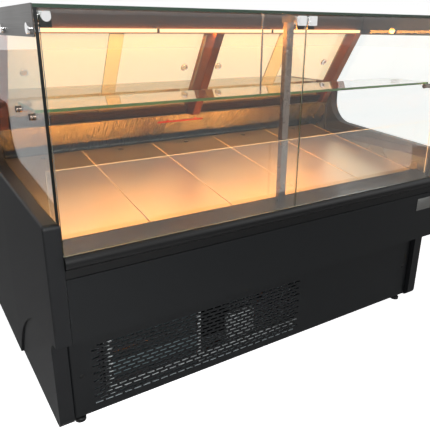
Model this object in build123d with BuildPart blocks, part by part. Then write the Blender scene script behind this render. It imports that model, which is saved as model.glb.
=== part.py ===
from build123d import *
import math
import os

os.makedirs("parts", exist_ok=True)

# A serve-over refrigerated display case, in millimetres.
# X runs along the counter, +Y from the customer to the staff, +Z up from the floor.
# The origin is on the floor under the middle of the case.
# "Depth" is measured back from the outer face of the front glass.

# Overall size
case_width = 1656.0
case_depth = 1100.0
case_height = 1220.0
bumper_reach = 12.0

# Heights of the main lines above the floor
base_height = 32.0
overhang_height = 349.0
sill_height = 614.0
cheek_front_height = 706.0
cheek_rear_height = 747.0
worktop_height = 929.0
shelf_height = 967.0

# Glass and sheet
glass_thickness = 8.0
sheet_thickness = 2.0
liner_thickness = 2.0
joint_gap = 1.0
glass_gap = 2.0

# Side cheeks, foam-filled mouldings
cheek_thickness = 54.0
cheek_front = 4.0
cheek_draft = 9.0
cheek_draft_depth = 520.0
cheek_floor_gap = 24.0
cheek_column_depth = 664.0
cheek_arch_radius = 107.0
cheek_top_radius = 27.0
cheek_nose_radius = 14.0
cheek_edge_radius = 7.0
leg_front = 68.0
leg_arch_radius = 48.0
leg_toe_radius = 25.0
relief_radius = 562.0
relief_foot_depth = 547.0
relief_top_depth = 200.0
relief_top_height = 338.0
rebate_clearance = 3.0
rebate_front = 26.0
rebate_floor = 672.0

# Front: base panel, upper panel, bumper and sill
base_panel_depth = 85.0
base_panel_corner = 12.0
base_panel_return = 22.0
base_panel_lap = 16.0
upper_panel_front = 4.0
upper_panel_lip = 20.0
bumper_height = 66.0
bumper_round_height = 38.0
bumper_groove_depth = 6.0
bumper_back = 11.0
sill_rear_depth = 149.0
sill_drop = 10.0
sill_wall = 3.0
sill_skirt = 45.0
deck_ledge_width = 16.0
riser_depth = 77.0
riser_thickness = 6.0
riser_height = 825.0
riser_seat = 14.0
riser_clearance = 0.5

# Grille of the base panel
grille_left = -700.0
grille_floor = 58.0
slot_columns = 25
slot_rows = 16
slot_pitch_x = 32.6
slot_pitch_z = 13.8
slot_length = 25.0
slot_height = 5.5
panel_screw_x = 735.0
panel_screw_height = 176.0
panel_screw_radius = 4.5

# Insulated tub, liner and deck
tub_floor_height = 420.0
tub_wall = 40.0
tub_front = 30.0
tub_rear_inner = 830.0
tub_rear_outer = 885.0
deck_sheets = 5
deck_front_depth = 150.5
deck_front_height = 605.0
deck_rear_depth = 782.0
deck_slope = 9.1
deck_flange = 17.0
deck_gap = 1.6
finger_hole_radius = 12.0
finger_hole_inset = 34.0
liner_toe_depth = 806.0
liner_toe_rise = 4.0
liner_ledge_depth = 764.0

# Leaning rear frame: posts, door tracks, doors and header
lean_angle = 30.0
lean_depth = 680.0
lean_height = 842.0
post_width = 36.0
post_depth = 60.0
middle_post_reach = 27.0
post_wall = 2.0
post_corner = 5.0
post_foot_height = 830.0
track_setback = 24.0
track_top_height = 866.0
track_rear_depth = 770.0
track_groove_depth = 12.0
door_thickness = 6.0
door_lane_front = 30.0
door_lane_rear = 46.0
door_clearance = 1.0
door_overlap = 59.0
door_lift_gap = 2.0
door_pull_radius = 13.0
door_pull_dish = 10.0
door_pull_stand = 2.0
door_pull_inset = 60.0
door_pull_height = 1027.0
header_setback = 2.1333
header_depth = 76.0
header_height = 58.0
header_wall = 4.0
header_floor_wall = 16.0

# Canopy, front glass and its hinges
top_glass_setback = 26.0
top_glass_overhang = 92.0
bracket_height = 70.0
bracket_thickness = 3.0
bracket_front = 2.0
bracket_overhang = 98.0
front_fixing_depth = 32.0
middle_fixing_lead = 172.0
header_fixing_inset = 34.0
fixing_drop = 52.0
fixing_cap_radius = 12.5
fixing_cap_height = 8.0
fixing_pin_radius = 4.0
fixing_hole_radius = 5.0
front_glass_top_gap = 12.0
front_glass_opening = 60.0
hinge_stand_off = 10.0
hinge_drop = 24.0
hinge_pin_radius = 5.0
hinge_play = 0.06
hinge_barrel_radius = 9.0
hinge_length = 27.0
hinge_flange_radius = 10.0
hinge_flange_thickness = 3.0
hinge_tab_height = 26.0
hinge_tab_thickness = 3.0
hinge_cap_radius = 11.0
hinge_cap_height = 4.0
hinge_cap_below_axis = 3.0
hinge_plate_width = 34.0
hinge_plate_height = 27.0
hinge_plate_thickness = 3.0
hinge_bolt_radius = 4.0
hinge_bolt_hole = 5.0
side_glass_lap = 52.0
side_glass_front = 1.0
side_glass_notch = 27.0
side_glass_foot = 674.0
clamp_strip_height = 30.0
clamp_strip_thickness = 5.0
clamp_strip_front = 30.0
clamp_strip_rear = 650.0
clamp_screw_front = 95.0
clamp_screw_rear = 452.0
clamp_screw_radius = 3.0

# Lamp, shelf, hanger and centre pillar
lamp_stand_off = 12.0
lamp_drop = 57.0
lamp_radius = 6.0
lamp_socket_height = 16.0
lamp_socket_length = 24.0
lamp_clip_x = 250.0
lamp_clip_width = 10.0
lamp_clip_height = 14.0
shelf_front_depth = 120.0
shelf_rear_depth = 316.0
shelf_end_gap = 6.0
shelf_clamp_depths = (126.0, 284.0)
shelf_clamp_radius = 9.0
shelf_clamp_length = 22.0
shelf_clamp_cap = 7.0
hanger_radius = 3.0
hanger_foot_radius = 7.0
hanger_depth = 218.0
pillar_x = 12.0
pillar_width = 26.0
pillar_depth = 24.0
pillar_front_depth = 88.0
pillar_top_gap = 2.0
pillar_arm_width = 12.0
pillar_arm_height = 20.0
pillar_corner = 4.0

# Worktop and service side
worktop_front_depth = 774.0
worktop_skirt = 30.0
worktop_thickness = 2.0
rear_panel_inset = 6.0
louvre_columns = 6
louvre_rows = 9
louvre_length = 150.0
louvre_height = 6.0
louvre_pitch_x = 190.0
louvre_pitch_z = 20.0
louvre_floor = 90.0
control_x = 560.0
control_height = 820.0
thermostat_width = 76.0
thermostat_height = 34.0
thermostat_body_width = 70.0
thermostat_body_height = 28.0
thermostat_body_depth = 55.0
thermostat_bezel = 3.0
switch_spacing = 46.0
switch_offset = 84.0
switch_width = 12.0
rocker_radius = 12.2
rocker_play = 0.8
rocker_side_play = 0.3
rocker_rest_angle = 6.0
rocker_back = 7.0
rocker_pivot_depth = 5.0
rocker_pin_radius = 1.5
rocker_pin_play = 0.06
switch_wall = 1.5
switch_body_depth = 17.0

# Base frame and feet
frame_inset = 8.0
pan_lip = 26.0
rail_height = 30.0
upright_size = 40.0
upright_wall = 3.0
upright_front_depth = 113.0
upright_middle_depth = 850.0
upright_rear_depth = 1050.0
foot_radius = 18.0
foot_pad_height = 12.0
foot_stem_radius = 5.0
foot_stem_hole = 5.4
foot_stem_height = 50.0
foot_pad_edge = 3.0
foot_nut_radius = 9.0
foot_nut_height = 8.0
gland_x = 600.0
gland_depth = 1030.0
gland_radius = 11.0
gland_neck = 8.0
gland_bore = 4.5
gland_length = 24.0
gland_nut_height = 5.0
gland_hole = 8.2

# Condensing unit
coil_left = -640.0
coil_width = 340.0
coil_front_depth = 112.0
coil_depth = 44.0
coil_height = 290.0
coil_fin_count = 17
coil_fin_thickness = 2.0
coil_frame = 14.0
shroud_depth = 30.0
shroud_wall = 2.0
fan_radius = 110.0
fan_tip_gap = 5.0
fan_hub_radius = 28.0
fan_hub_length = 24.0
fan_blades = 5
fan_blade_chord = 62.0
fan_blade_pitch = 24.0
fan_blade_thickness = 2.0
fan_root_sink = 2.0
motor_radius = 38.0
motor_length = 62.0
motor_gap = 3.0
motor_shaft_radius = 4.0
shaft_play = 0.06
motor_arm_width = 14.0
motor_arm_thickness = 4.0
compressor_x = -150.0
compressor_depth = 330.0
compressor_radius = 78.0
compressor_height = 170.0
compressor_foot = 190.0
compressor_foot_thickness = 4.0
compressor_dome = 34.0
compressor_pad_radius = 14.0
compressor_box_width = 60.0
compressor_box_height = 70.0
compressor_box_depth = 36.0
compressor_pad_height = 14.0

# Evaporator under the deck
evaporator_half_width = 520.0
evaporator_front_depth = 470.0
evaporator_depth = 120.0
evaporator_height = 120.0
evaporator_fin_count = 21
evaporator_fin_thickness = 2.0
fan_plate_gap = 48.0
evaporator_fan_radius = 52.0
evaporator_fan_x = 260.0
evaporator_motor_radius = 20.0
evaporator_motor_length = 34.0
drain_tray_gap = 10.0
drain_tray_lip = 14.0

# Lines that follow from the sizes above
front_glass_y = -case_depth / 2 + bumper_reach
rear_depth = case_depth - bumper_reach
cheek_inner_x = case_width / 2 - cheek_thickness
rebate_width = glass_thickness + rebate_clearance
side_glass_outer_x = cheek_inner_x + rebate_width - joint_gap
side_glass_inner_x = side_glass_outer_x - glass_thickness
bay_half_width = cheek_inner_x - joint_gap
liner_inner_x = cheek_inner_x - joint_gap - liner_thickness
deck_half_width = liner_inner_x - joint_gap
top_glass_underside = case_height - glass_thickness
header_underside = top_glass_underside - header_height
lean_slope = math.tan(math.radians(lean_angle))
lean_sine = math.sin(math.radians(lean_angle))
lean_cosine = math.cos(math.radians(lean_angle))
header_front_depth = lean_depth - (header_underside - lean_height) * lean_slope + header_setback
top_glass_rear_depth = header_front_depth + top_glass_overhang
bracket_rear_depth = header_front_depth + bracket_overhang
fixing_depths = (
    front_fixing_depth,
    header_front_depth - middle_fixing_lead,
    header_front_depth + header_fixing_inset,
)
lamp_depth = header_front_depth - lamp_stand_off
end_post_x = bay_half_width - post_width / 2
bay_inner_x = post_width / 2 + door_clearance
bay_outer_x = end_post_x - post_width / 2 - door_clearance
door_bay = bay_outer_x - bay_inner_x
door_width = (door_bay + door_overlap) / 2
hinge_depth = glass_thickness + hinge_stand_off
hinge_height = case_height - hinge_drop
cheek_top_slope = (cheek_rear_height - cheek_front_height) / (cheek_column_depth - cheek_front)
side_view = Plane(origin=(0, front_glass_y, 0), x_dir=(0, 1, 0), z_dir=(1, 0, 0))


def floor_plane(height):
    # a level plane whose local X is the case's X and local Y the depth behind the front glass
    return Plane(origin=(0, front_glass_y, height), x_dir=(1, 0, 0), z_dir=(0, 0, 1))


def facing_plane(depth):
    # an upright plane across the case, seen from the front: local X is X, local Y is height
    return Plane(origin=(0, front_glass_y + depth, 0), x_dir=(1, 0, 0), z_dir=(0, -1, 0))


def lean_point(height, behind=0.0):
    # a point at a height on the line that lies this far behind the posts' leaning front face
    front = lean_depth - (height - lean_height) * lean_slope
    return (front + behind / lean_cosine, height)


def bent_outline(points, thickness):
    # closed outline of a folded sheet, from the points of one face and a thickness to its left
    normals = []
    for (ax, ay), (bx, by) in zip(points, points[1:]):
        run = math.hypot(bx - ax, by - ay)
        normals.append(((ay - by) / run, (bx - ax) / run))
    other_face = []
    for index, (px, py) in enumerate(points):
        before = normals[max(index - 1, 0)]
        after = normals[min(index, len(normals) - 1)]
        scale = thickness / (1 + before[0] * after[0] + before[1] * after[1])
        other_face.append((px + (before[0] + after[0]) * scale, py + (before[1] + after[1]) * scale))
    return list(points) + other_face[::-1]


def finish(part, name):
    part.label = name
    export_step(part, f"parts/{name}.step")


def across(points, half_width):
    # adds a bar of the given side profile that runs across the case
    with BuildSketch(side_view) as profile:
        with BuildLine():
            Polyline(*points, close=True)
        make_face()
    extrude(profile.sketch, amount=half_width, both=True)


def block(x_range, depth_range, height_range, mode=Mode.ADD):
    # adds or cuts a box between two X values, two depths and two heights
    centre = (
        sum(x_range) / 2,
        front_glass_y + sum(depth_range) / 2,
        sum(height_range) / 2,
    )
    with Locations(centre):
        Box(
            abs(x_range[1] - x_range[0]),
            abs(depth_range[1] - depth_range[0]),
            abs(height_range[1] - height_range[0]),
            mode=mode,
        )


def rod_across(near_x, far_x, depth, height, radius, side=1, mode=Mode.ADD):
    # adds or cuts a round bar along X, on the right (side 1) or mirrored to the left (side -1)
    with Locations((side * (near_x + far_x) / 2, front_glass_y + depth, height)):
        Cylinder(radius, abs(far_x - near_x), rotation=(0, 90, 0), mode=mode)


def rod_along(x, near_depth, far_depth, height, radius, mode=Mode.ADD):
    # adds or cuts a round bar that runs from the customer's side to the staff's
    with Locations((x, front_glass_y + (near_depth + far_depth) / 2, height)):
        Cylinder(radius, far_depth - near_depth, rotation=(90, 0, 0), mode=mode)


def rod_upright(x, depth, low, high, radius, mode=Mode.ADD):
    # adds or cuts an upright round bar
    with Locations((x, front_glass_y + depth, (low + high) / 2)):
        Cylinder(radius, high - low, mode=mode)


# Side cheeks
rebate_rear = lean_point(worktop_height, side_glass_lap)[0] + joint_gap
cheek_profile = [
    (cheek_front, overhang_height, 0.0),
    (cheek_front, cheek_front_height, cheek_nose_radius),
    (cheek_column_depth, cheek_rear_height, cheek_arch_radius),
    (cheek_column_depth, worktop_height, cheek_top_radius),
    (rear_depth, worktop_height, 0.0),
    (rear_depth, cheek_floor_gap, 0.0),
    (leg_front, cheek_floor_gap, leg_toe_radius),
    (leg_front, overhang_height, leg_arch_radius),
]


def build_cheek():
    outer_x = case_width / 2
    relief_x = outer_x - cheek_draft
    with BuildPart() as cheek:
        with BuildSketch(side_view):
            with BuildLine():
                FilletPolyline(
                    *[(depth, height) for depth, height, _ in cheek_profile],
                    radius=[radius for _, _, radius in cheek_profile],
                    close=True,
                )
            make_face()
        extrude(amount=outer_x)
        # the plan: thinner at the front, full thickness behind the draft
        with BuildSketch(floor_plane(0)):
            with BuildLine():
                Polyline(
                    (cheek_inner_x, 0),
                    (relief_x, 0),
                    (outer_x, cheek_draft_depth),
                    (outer_x, rear_depth),
                    (cheek_inner_x, rear_depth),
                    close=True,
                )
            make_face()
        extrude(amount=worktop_height, mode=Mode.INTERSECT)
        # the rounded outer edge along the top
        top_edges = cheek.edges().filter_by(
            lambda edge: edge.center().X > relief_x - joint_gap
            and edge.center().Z > cheek_front_height - cheek_nose_radius
            and abs(edge.bounding_box().size.Z) + abs(edge.bounding_box().size.Y) > cheek_nose_radius
        )
        long_edges = top_edges.filter_by(
            lambda edge: edge.center().Y < front_glass_y + rear_depth - joint_gap
        )
        fillet(long_edges, cheek_edge_radius)
        # the flat relief in front of the long arc, low on the outer face
        with BuildSketch(side_view.offset(relief_x)):
            with BuildLine():
                Line((0, 0), (relief_foot_depth, 0))
                Line((relief_foot_depth, 0), (relief_foot_depth, cheek_floor_gap))
                RadiusArc(
                    (relief_top_depth, relief_top_height),
                    (relief_foot_depth, cheek_floor_gap),
                    relief_radius,
                )
                Line((relief_top_depth, relief_top_height), (0, relief_top_height))
                Line((0, relief_top_height), (0, 0))
            make_face()
        extrude(amount=cheek_draft, mode=Mode.SUBTRACT)
        # the rebate that takes the side glass and its clamp strip
        with BuildSketch(side_view.offset(cheek_inner_x)):
            with BuildLine():
                Polyline(
                    (rebate_front, rebate_floor),
                    (rebate_front, case_height),
                    (rebate_rear, case_height),
                    (rebate_rear, rebate_floor),
                    close=True,
                )
            make_face()
        extrude(amount=rebate_width, mode=Mode.SUBTRACT)
    return cheek.part


with BuildPart() as side_panel_right:
    add(build_cheek())
finish(side_panel_right.part, "side_panel_right")

with BuildPart() as side_panel_left:
    mirror(side_panel_right.part, about=Plane.YZ)
finish(side_panel_left.part, "side_panel_left")

# Clamp strips that hold the side glasses in the cheeks
clamp_strip_inner_x = side_glass_inner_x - joint_gap / 2 - clamp_strip_thickness
clamp_strip_middle = rebate_floor + joint_gap + clamp_strip_height / 2
with BuildPart() as side_glass_clamps:
    for side in (-1, 1):
        with BuildSketch(side_view.offset(side * (clamp_strip_inner_x + clamp_strip_thickness / 2))):
            with Locations(((clamp_strip_front + clamp_strip_rear) / 2, clamp_strip_middle)):
                RectangleRounded(
                    clamp_strip_rear - clamp_strip_front,
                    clamp_strip_height,
                    clamp_strip_thickness,
                )
            with Locations(
                (clamp_screw_front, clamp_strip_middle),
                (clamp_screw_rear, clamp_strip_middle),
            ):
                Circle(clamp_screw_radius, mode=Mode.SUBTRACT)
        extrude(amount=clamp_strip_thickness / 2, both=True)
finish(side_glass_clamps.part, "side_glass_clamps")

# Side glasses, cut at the rear to follow the leaning posts
fixing_height = case_height - fixing_drop
shelf_pin_height = shelf_height - shelf_clamp_radius
glass_top = top_glass_underside - joint_gap / 2
glass_step = cheek_front_height + (side_glass_notch - cheek_front) * cheek_top_slope + joint_gap
with BuildPart() as side_glass_right:
    with BuildSketch(side_view.offset(side_glass_inner_x)):
        with BuildLine():
            Polyline(
                (side_glass_front, glass_step),
                (side_glass_front, glass_top),
                lean_point(glass_top, side_glass_lap),
                lean_point(worktop_height, side_glass_lap),
                (lean_point(worktop_height, side_glass_lap)[0], side_glass_foot),
                (side_glass_notch, side_glass_foot),
                (side_glass_notch, glass_step),
                close=True,
            )
        make_face()
        with Locations(
            *[(depth, fixing_height) for depth in fixing_depths],
            *[(depth, shelf_pin_height) for depth in shelf_clamp_depths],
        ):
            Circle(fixing_hole_radius, mode=Mode.SUBTRACT)
    extrude(amount=glass_thickness)
finish(side_glass_right.part, "side_glass_right")

with BuildPart() as side_glass_left:
    mirror(side_glass_right.part, about=Plane.YZ)
finish(side_glass_left.part, "side_glass_left")

# Canopy brackets outside the side glasses
bracket_inner_x = side_glass_outer_x + joint_gap / 2
with BuildPart() as canopy_bracket_right:
    with BuildSketch(side_view.offset(bracket_inner_x)):
        with BuildLine():
            FilletPolyline(
                (bracket_front, case_height - bracket_height),
                (bracket_front, case_height),
                (bracket_rear_depth, case_height),
                (bracket_rear_depth - bracket_height * lean_slope, case_height - bracket_height),
                radius=bracket_thickness,
                close=True,
            )
        make_face()
        with Locations(*[(depth, fixing_height) for depth in fixing_depths]):
            Circle(fixing_hole_radius, mode=Mode.SUBTRACT)
    extrude(amount=bracket_thickness)
finish(canopy_bracket_right.part, "canopy_bracket_right")

with BuildPart() as canopy_bracket_left:
    mirror(canopy_bracket_right.part, about=Plane.YZ)
finish(canopy_bracket_left.part, "canopy_bracket_left")

# Front cladding
with BuildPart() as upper_front_panel:
    across(
        bent_outline(
            [
                (upper_panel_front + upper_panel_lip, sill_height - bumper_height - joint_gap),
                (upper_panel_front, sill_height - bumper_height - joint_gap),
                (upper_panel_front, overhang_height),
                (base_panel_depth - joint_gap, overhang_height),
                (base_panel_depth - joint_gap, overhang_height + base_panel_lap),
            ],
            sheet_thickness,
        ),
        bay_half_width,
    )
finish(upper_front_panel.part, "upper_front_panel")

base_panel_top = overhang_height + base_panel_lap - joint_gap
with BuildPart() as lower_front_panel:
    with BuildSketch(floor_plane(base_height)):
        with BuildLine() as panel_path:
            FilletPolyline(
                (-bay_half_width, base_panel_depth + base_panel_return),
                (-bay_half_width, base_panel_depth),
                (bay_half_width, base_panel_depth),
                (bay_half_width, base_panel_depth + base_panel_return),
                radius=base_panel_corner,
            )
            offset(amount=sheet_thickness, side=Side.LEFT)
        make_face()
    extrude(amount=base_panel_top - base_height)
    with BuildSketch(facing_plane(base_panel_depth - joint_gap)):
        for row in range(slot_rows):
            row_shift = slot_pitch_x / 2 * (row % 2)
            with Locations(
                *[
                    (
                        grille_left + slot_length / 2 + row_shift + column * slot_pitch_x,
                        grille_floor + slot_height / 2 + row * slot_pitch_z,
                    )
                    for column in range(slot_columns)
                ]
            ):
                Rectangle(slot_length, slot_height)
        with Locations((-panel_screw_x, panel_screw_height), (panel_screw_x, panel_screw_height)):
            Circle(panel_screw_radius)
    extrude(amount=-(sheet_thickness + 2 * joint_gap), mode=Mode.SUBTRACT)
finish(lower_front_panel.part, "lower_front_panel")

with BuildPart() as bumper_rail:
    with BuildSketch(side_view):
        with BuildLine():
            Line((bumper_back, sill_height), (0, sill_height))
            ThreePointArc(
                (0, sill_height),
                (-bumper_reach, sill_height - bumper_round_height / 2),
                (0, sill_height - bumper_round_height),
            )
            Polyline(
                (0, sill_height - bumper_round_height),
                (bumper_groove_depth, sill_height - bumper_round_height - bumper_groove_depth / 2),
                (bumper_groove_depth, sill_height - bumper_height),
                (bumper_back, sill_height - bumper_height),
                (bumper_back, sill_height),
            )
        make_face()
    extrude(amount=bay_half_width, both=True)
finish(bumper_rail.part, "bumper_rail")

# Front sill: a downward channel with a seat for the inner glass and a ledge for the deck
sill_front = bumper_back + joint_gap
sill_rear_height = sill_height - sill_drop
seat_half = riser_thickness / 2 + riser_clearance
riser_middle = riser_depth + riser_thickness / 2
with BuildPart() as front_sill:
    across(
        [
            (sill_front, sill_height - sill_skirt),
            (sill_front, sill_height),
            (sill_rear_depth, sill_rear_height),
            (sill_rear_depth, deck_front_height - deck_flange),
            (sill_rear_depth + deck_ledge_width, deck_front_height - deck_flange),
            (sill_rear_depth + deck_ledge_width, deck_front_height - deck_flange - sill_wall),
            (sill_rear_depth - sill_wall, deck_front_height - deck_flange - sill_wall),
            (sill_rear_depth - sill_wall, sill_rear_height - sill_wall),
            (riser_middle + seat_half + sill_wall, sill_height - 2 * sill_wall),
            (riser_middle + seat_half + sill_wall, sill_height - riser_seat - 2 * sill_wall),
            (riser_middle - seat_half - sill_wall, sill_height - riser_seat - 2 * sill_wall),
            (riser_middle - seat_half - sill_wall, sill_height - 2 * sill_wall),
            (sill_front + sill_wall, sill_height - sill_wall),
            (sill_front + sill_wall, sill_height - sill_skirt),
        ],
        liner_inner_x - joint_gap,
    )
    block(
        (-case_width / 2, case_width / 2),
        (riser_middle - seat_half, riser_middle + seat_half),
        (sill_height - riser_seat - sill_wall, sill_height + riser_seat),
        mode=Mode.SUBTRACT,
    )
finish(front_sill.part, "front_sill")

with BuildPart() as inner_riser_glass:
    block(
        (-liner_inner_x + joint_gap, liner_inner_x - joint_gap),
        (riser_middle - riser_thickness / 2, riser_middle + riser_thickness / 2),
        (sill_height - riser_seat - sill_wall, riser_height),
    )
finish(inner_riser_glass.part, "inner_riser_glass")

# Insulated tub: a foam trough under the deck that rises behind it to the worktop
tub_top = worktop_height - worktop_skirt
deck_tilt = math.tan(math.radians(deck_slope))
liner_toe = (
    liner_toe_depth,
    deck_front_height + (liner_toe_depth - deck_front_depth) * deck_tilt + liner_toe_rise,
)
liner_head = (lean_point(post_foot_height)[0] + post_depth / 3, post_foot_height - joint_gap)
tub_skin = liner_thickness + joint_gap
with BuildPart() as insulated_tub:
    across(
        [
            (tub_front, tub_floor_height),
            (tub_front, sill_height - sill_skirt - joint_gap),
            (tub_front + tub_wall, sill_height - sill_skirt - joint_gap),
            (tub_front + tub_wall, tub_floor_height + tub_wall),
            (tub_rear_inner, tub_floor_height + tub_wall),
            (tub_rear_inner, liner_toe[1]),
            (liner_head[0] + 2 * tub_skin, liner_head[1]),
            (track_rear_depth, liner_head[1]),
            (track_rear_depth, tub_top),
            (tub_rear_outer, tub_top),
            (tub_rear_outer, tub_floor_height),
        ],
        bay_half_width,
    )
finish(insulated_tub.part, "insulated_tub")

# Stainless liner: sloping rear wall with a ledge for the deck, and the two side walls
deck_rear_height = deck_front_height + (deck_rear_depth - deck_front_depth) * deck_tilt
ledge_height = deck_rear_height - deck_flange
with BuildPart() as inner_liner:
    across(
        bent_outline(
            [
                (liner_ledge_depth, ledge_height - liner_thickness),
                (liner_toe[0], ledge_height - liner_thickness),
                liner_toe,
                liner_head,
            ],
            liner_thickness,
        ),
        liner_inner_x,
    )
    for side in (-1, 1):
        with BuildSketch(side_view.offset(side * (liner_inner_x + liner_thickness / 2))):
            with BuildLine():
                Polyline(
                    (tub_front + tub_wall + joint_gap, tub_floor_height + tub_wall + joint_gap),
                    (tub_front + tub_wall + joint_gap, rebate_floor - joint_gap),
                    (rebate_rear + joint_gap, rebate_floor - joint_gap),
                    (rebate_rear + joint_gap, liner_head[1]),
                    liner_head,
                    liner_toe,
                    (liner_toe[0], tub_floor_height + tub_wall + joint_gap),
                    close=True,
                )
            make_face()
        extrude(amount=liner_thickness / 2, both=True)
finish(inner_liner.part, "inner_liner")

# Deck sheets, lift-out pans that slope down to the customer
deck_pitch = 2 * deck_half_width / deck_sheets
finger_hole_depth = deck_rear_depth - finger_hole_inset
for sheet in range(deck_sheets):
    sheet_x = -deck_half_width + (sheet + 0.5) * deck_pitch
    with BuildPart() as deck_sheet:
        with BuildSketch(side_view.offset(sheet_x)):
            with BuildLine():
                Polyline(
                    *bent_outline(
                        [
                            (deck_front_depth, deck_front_height - deck_flange),
                            (deck_front_depth, deck_front_height),
                            (deck_rear_depth, deck_rear_height),
                            (deck_rear_depth, deck_rear_height - deck_flange),
                        ],
                        -sheet_thickness,
                    ),
                    close=True,
                )
            make_face()
        extrude(amount=(deck_pitch - deck_gap) / 2, both=True)
        with BuildSketch(floor_plane(deck_front_height)):
            with Locations((sheet_x, finger_hole_depth)):
                Circle(finger_hole_radius)
        extrude(amount=deck_rear_height, mode=Mode.SUBTRACT)
    finish(deck_sheet.part, f"deck_sheet_{sheet + 1}")

# Leaning rear frame


def groove(lane, low, high):
    # cuts one door lane, leaning like the doors, between two heights
    near = lane - door_clearance
    far = lane + door_thickness + door_clearance
    with BuildSketch(side_view) as lane_profile:
        with BuildLine():
            Polyline(
                lean_point(low, near),
                lean_point(high, near),
                lean_point(high, far),
                lean_point(low, far),
                close=True,
            )
        make_face()
    extrude(lane_profile.sketch, amount=case_width, both=True, mode=Mode.SUBTRACT)


with BuildPart() as door_tracks:
    across(
        [
            lean_point(post_foot_height, track_setback),
            lean_point(track_top_height, track_setback),
            (track_rear_depth - joint_gap, track_top_height),
            (track_rear_depth - joint_gap, post_foot_height),
        ],
        bay_outer_x,
    )
    for lane in (door_lane_front, door_lane_rear):
        groove(lane, track_top_height - track_groove_depth, track_top_height + joint_gap)
    block(
        (-bay_inner_x, bay_inner_x),
        (0, case_depth),
        (sill_height, case_height),
        mode=Mode.SUBTRACT,
    )
finish(door_tracks.part, "door_tracks")


def build_post(post_x, reach):
    # a rectangular tube that leans forward, cut level at the foot and at the head
    lean_plane = Plane(
        origin=(post_x, front_glass_y + lean_depth, lean_height),
        x_dir=(1, 0, 0),
        z_dir=(0, -lean_sine, lean_cosine),
    )
    with BuildPart() as post:
        with BuildSketch(lean_plane) as section:
            with Locations((0, (post_depth - reach) / 2)):
                RectangleRounded(post_width, post_depth + reach, post_corner)
                Rectangle(
                    post_width - 2 * post_wall,
                    post_depth + reach - 2 * post_wall,
                    mode=Mode.SUBTRACT,
                )
        extrude(section.sketch, amount=case_height - sill_height, both=True)
        split(bisect_by=Plane.XY.offset(post_foot_height), keep=Keep.TOP)
        split(bisect_by=Plane.XY.offset(header_underside), keep=Keep.BOTTOM)
    return post.part


for post_name, post_x, reach in (
    ("left", -end_post_x, 0),
    ("middle", 0, middle_post_reach),
    ("right", end_post_x, 0),
):
    with BuildPart() as rear_post:
        add(build_post(post_x, reach))
    finish(rear_post.part, f"rear_post_{post_name}")

header_half = side_glass_inner_x - joint_gap
header_rear_depth = header_front_depth + header_depth
with BuildPart() as header_beam:
    block(
        (-header_half, header_half),
        (header_front_depth, header_rear_depth),
        (header_underside, top_glass_underside),
    )
    block(
        (-header_half + header_wall, header_half - header_wall),
        (header_front_depth + header_wall, header_rear_depth - header_wall),
        (header_underside + header_floor_wall, top_glass_underside - header_wall),
        mode=Mode.SUBTRACT,
    )
    for lane in (door_lane_front, door_lane_rear):
        groove(lane, header_underside - joint_gap, header_underside + track_groove_depth)
finish(header_beam.part, "header_beam")


def build_door(low_x, high_x, lane, pull_x):
    # a leaning pane with a round finger pull, dished on both faces
    lane_origin = (0, front_glass_y + lean_depth + lane * lean_cosine, lean_height + lane * lean_sine)
    face_plane = Plane(origin=lane_origin, x_dir=(1, 0, 0), z_dir=(0, -lean_cosine, -lean_sine))
    foot = (track_top_height - track_groove_depth + door_lift_gap - lane_origin[2]) / lean_cosine
    far_rise = door_thickness * lean_sine
    head = (header_underside + track_groove_depth - door_lift_gap - far_rise - lane_origin[2]) / lean_cosine
    pull = (door_pull_height - lane_origin[2]) / lean_cosine
    with BuildPart() as door:
        with BuildSketch(face_plane) as pane:
            with Locations(((low_x + high_x) / 2, (foot + head) / 2)):
                Rectangle(high_x - low_x, head - foot)
        extrude(pane.sketch, amount=-door_thickness)
        with BuildSketch(face_plane.offset(door_pull_stand)) as ring:
            with Locations((pull_x, pull)):
                Circle(door_pull_radius)
        extrude(ring.sketch, amount=-(door_thickness + 2 * door_pull_stand))
        for dish_face in (door_pull_stand, -door_thickness):
            with BuildSketch(face_plane.offset(dish_face)) as dish:
                with Locations((pull_x, pull)):
                    Circle(door_pull_dish)
            extrude(dish.sketch, amount=-door_pull_stand, mode=Mode.SUBTRACT)
    return door.part


door_places = [
    (-bay_outer_x, -bay_outer_x + door_width, door_lane_rear, -bay_outer_x + door_pull_inset),
    (-bay_inner_x - door_width, -bay_inner_x, door_lane_front, -bay_inner_x - door_pull_inset),
    (bay_inner_x, bay_inner_x + door_width, door_lane_front, bay_inner_x + door_pull_inset),
    (bay_outer_x - door_width, bay_outer_x, door_lane_rear, bay_outer_x - door_pull_inset),
]
for number, place in enumerate(door_places, start=1):
    with BuildPart() as sliding_door:
        add(build_door(*place))
    finish(sliding_door.part, f"sliding_door_{number}")

# Canopy: top glass, lamp and point fixings
with BuildPart() as top_glass:
    block(
        (-side_glass_outer_x, side_glass_outer_x),
        (top_glass_setback, top_glass_rear_depth),
        (top_glass_underside, case_height),
    )
finish(top_glass.part, "top_glass")

lamp_height = case_height - lamp_drop
with BuildPart() as lamp_tube:
    with BuildSketch(side_view):
        with Locations((lamp_depth, lamp_height)):
            Circle(lamp_radius)
    extrude(amount=header_half, both=True)
    for side in (-1, 1):
        socket_x = side * (header_half - lamp_socket_length / 2)
        for centre_x, width, height in (
            (socket_x, lamp_socket_length, lamp_socket_height),
            (side * lamp_clip_x, lamp_clip_width, lamp_clip_height),
        ):
            block(
                (centre_x - width / 2, centre_x + width / 2),
                (lamp_depth - height / 2, header_front_depth),
                (lamp_height - height / 2, lamp_height + height / 2),
            )
finish(lamp_tube.part, "lamp_tube")

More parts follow.
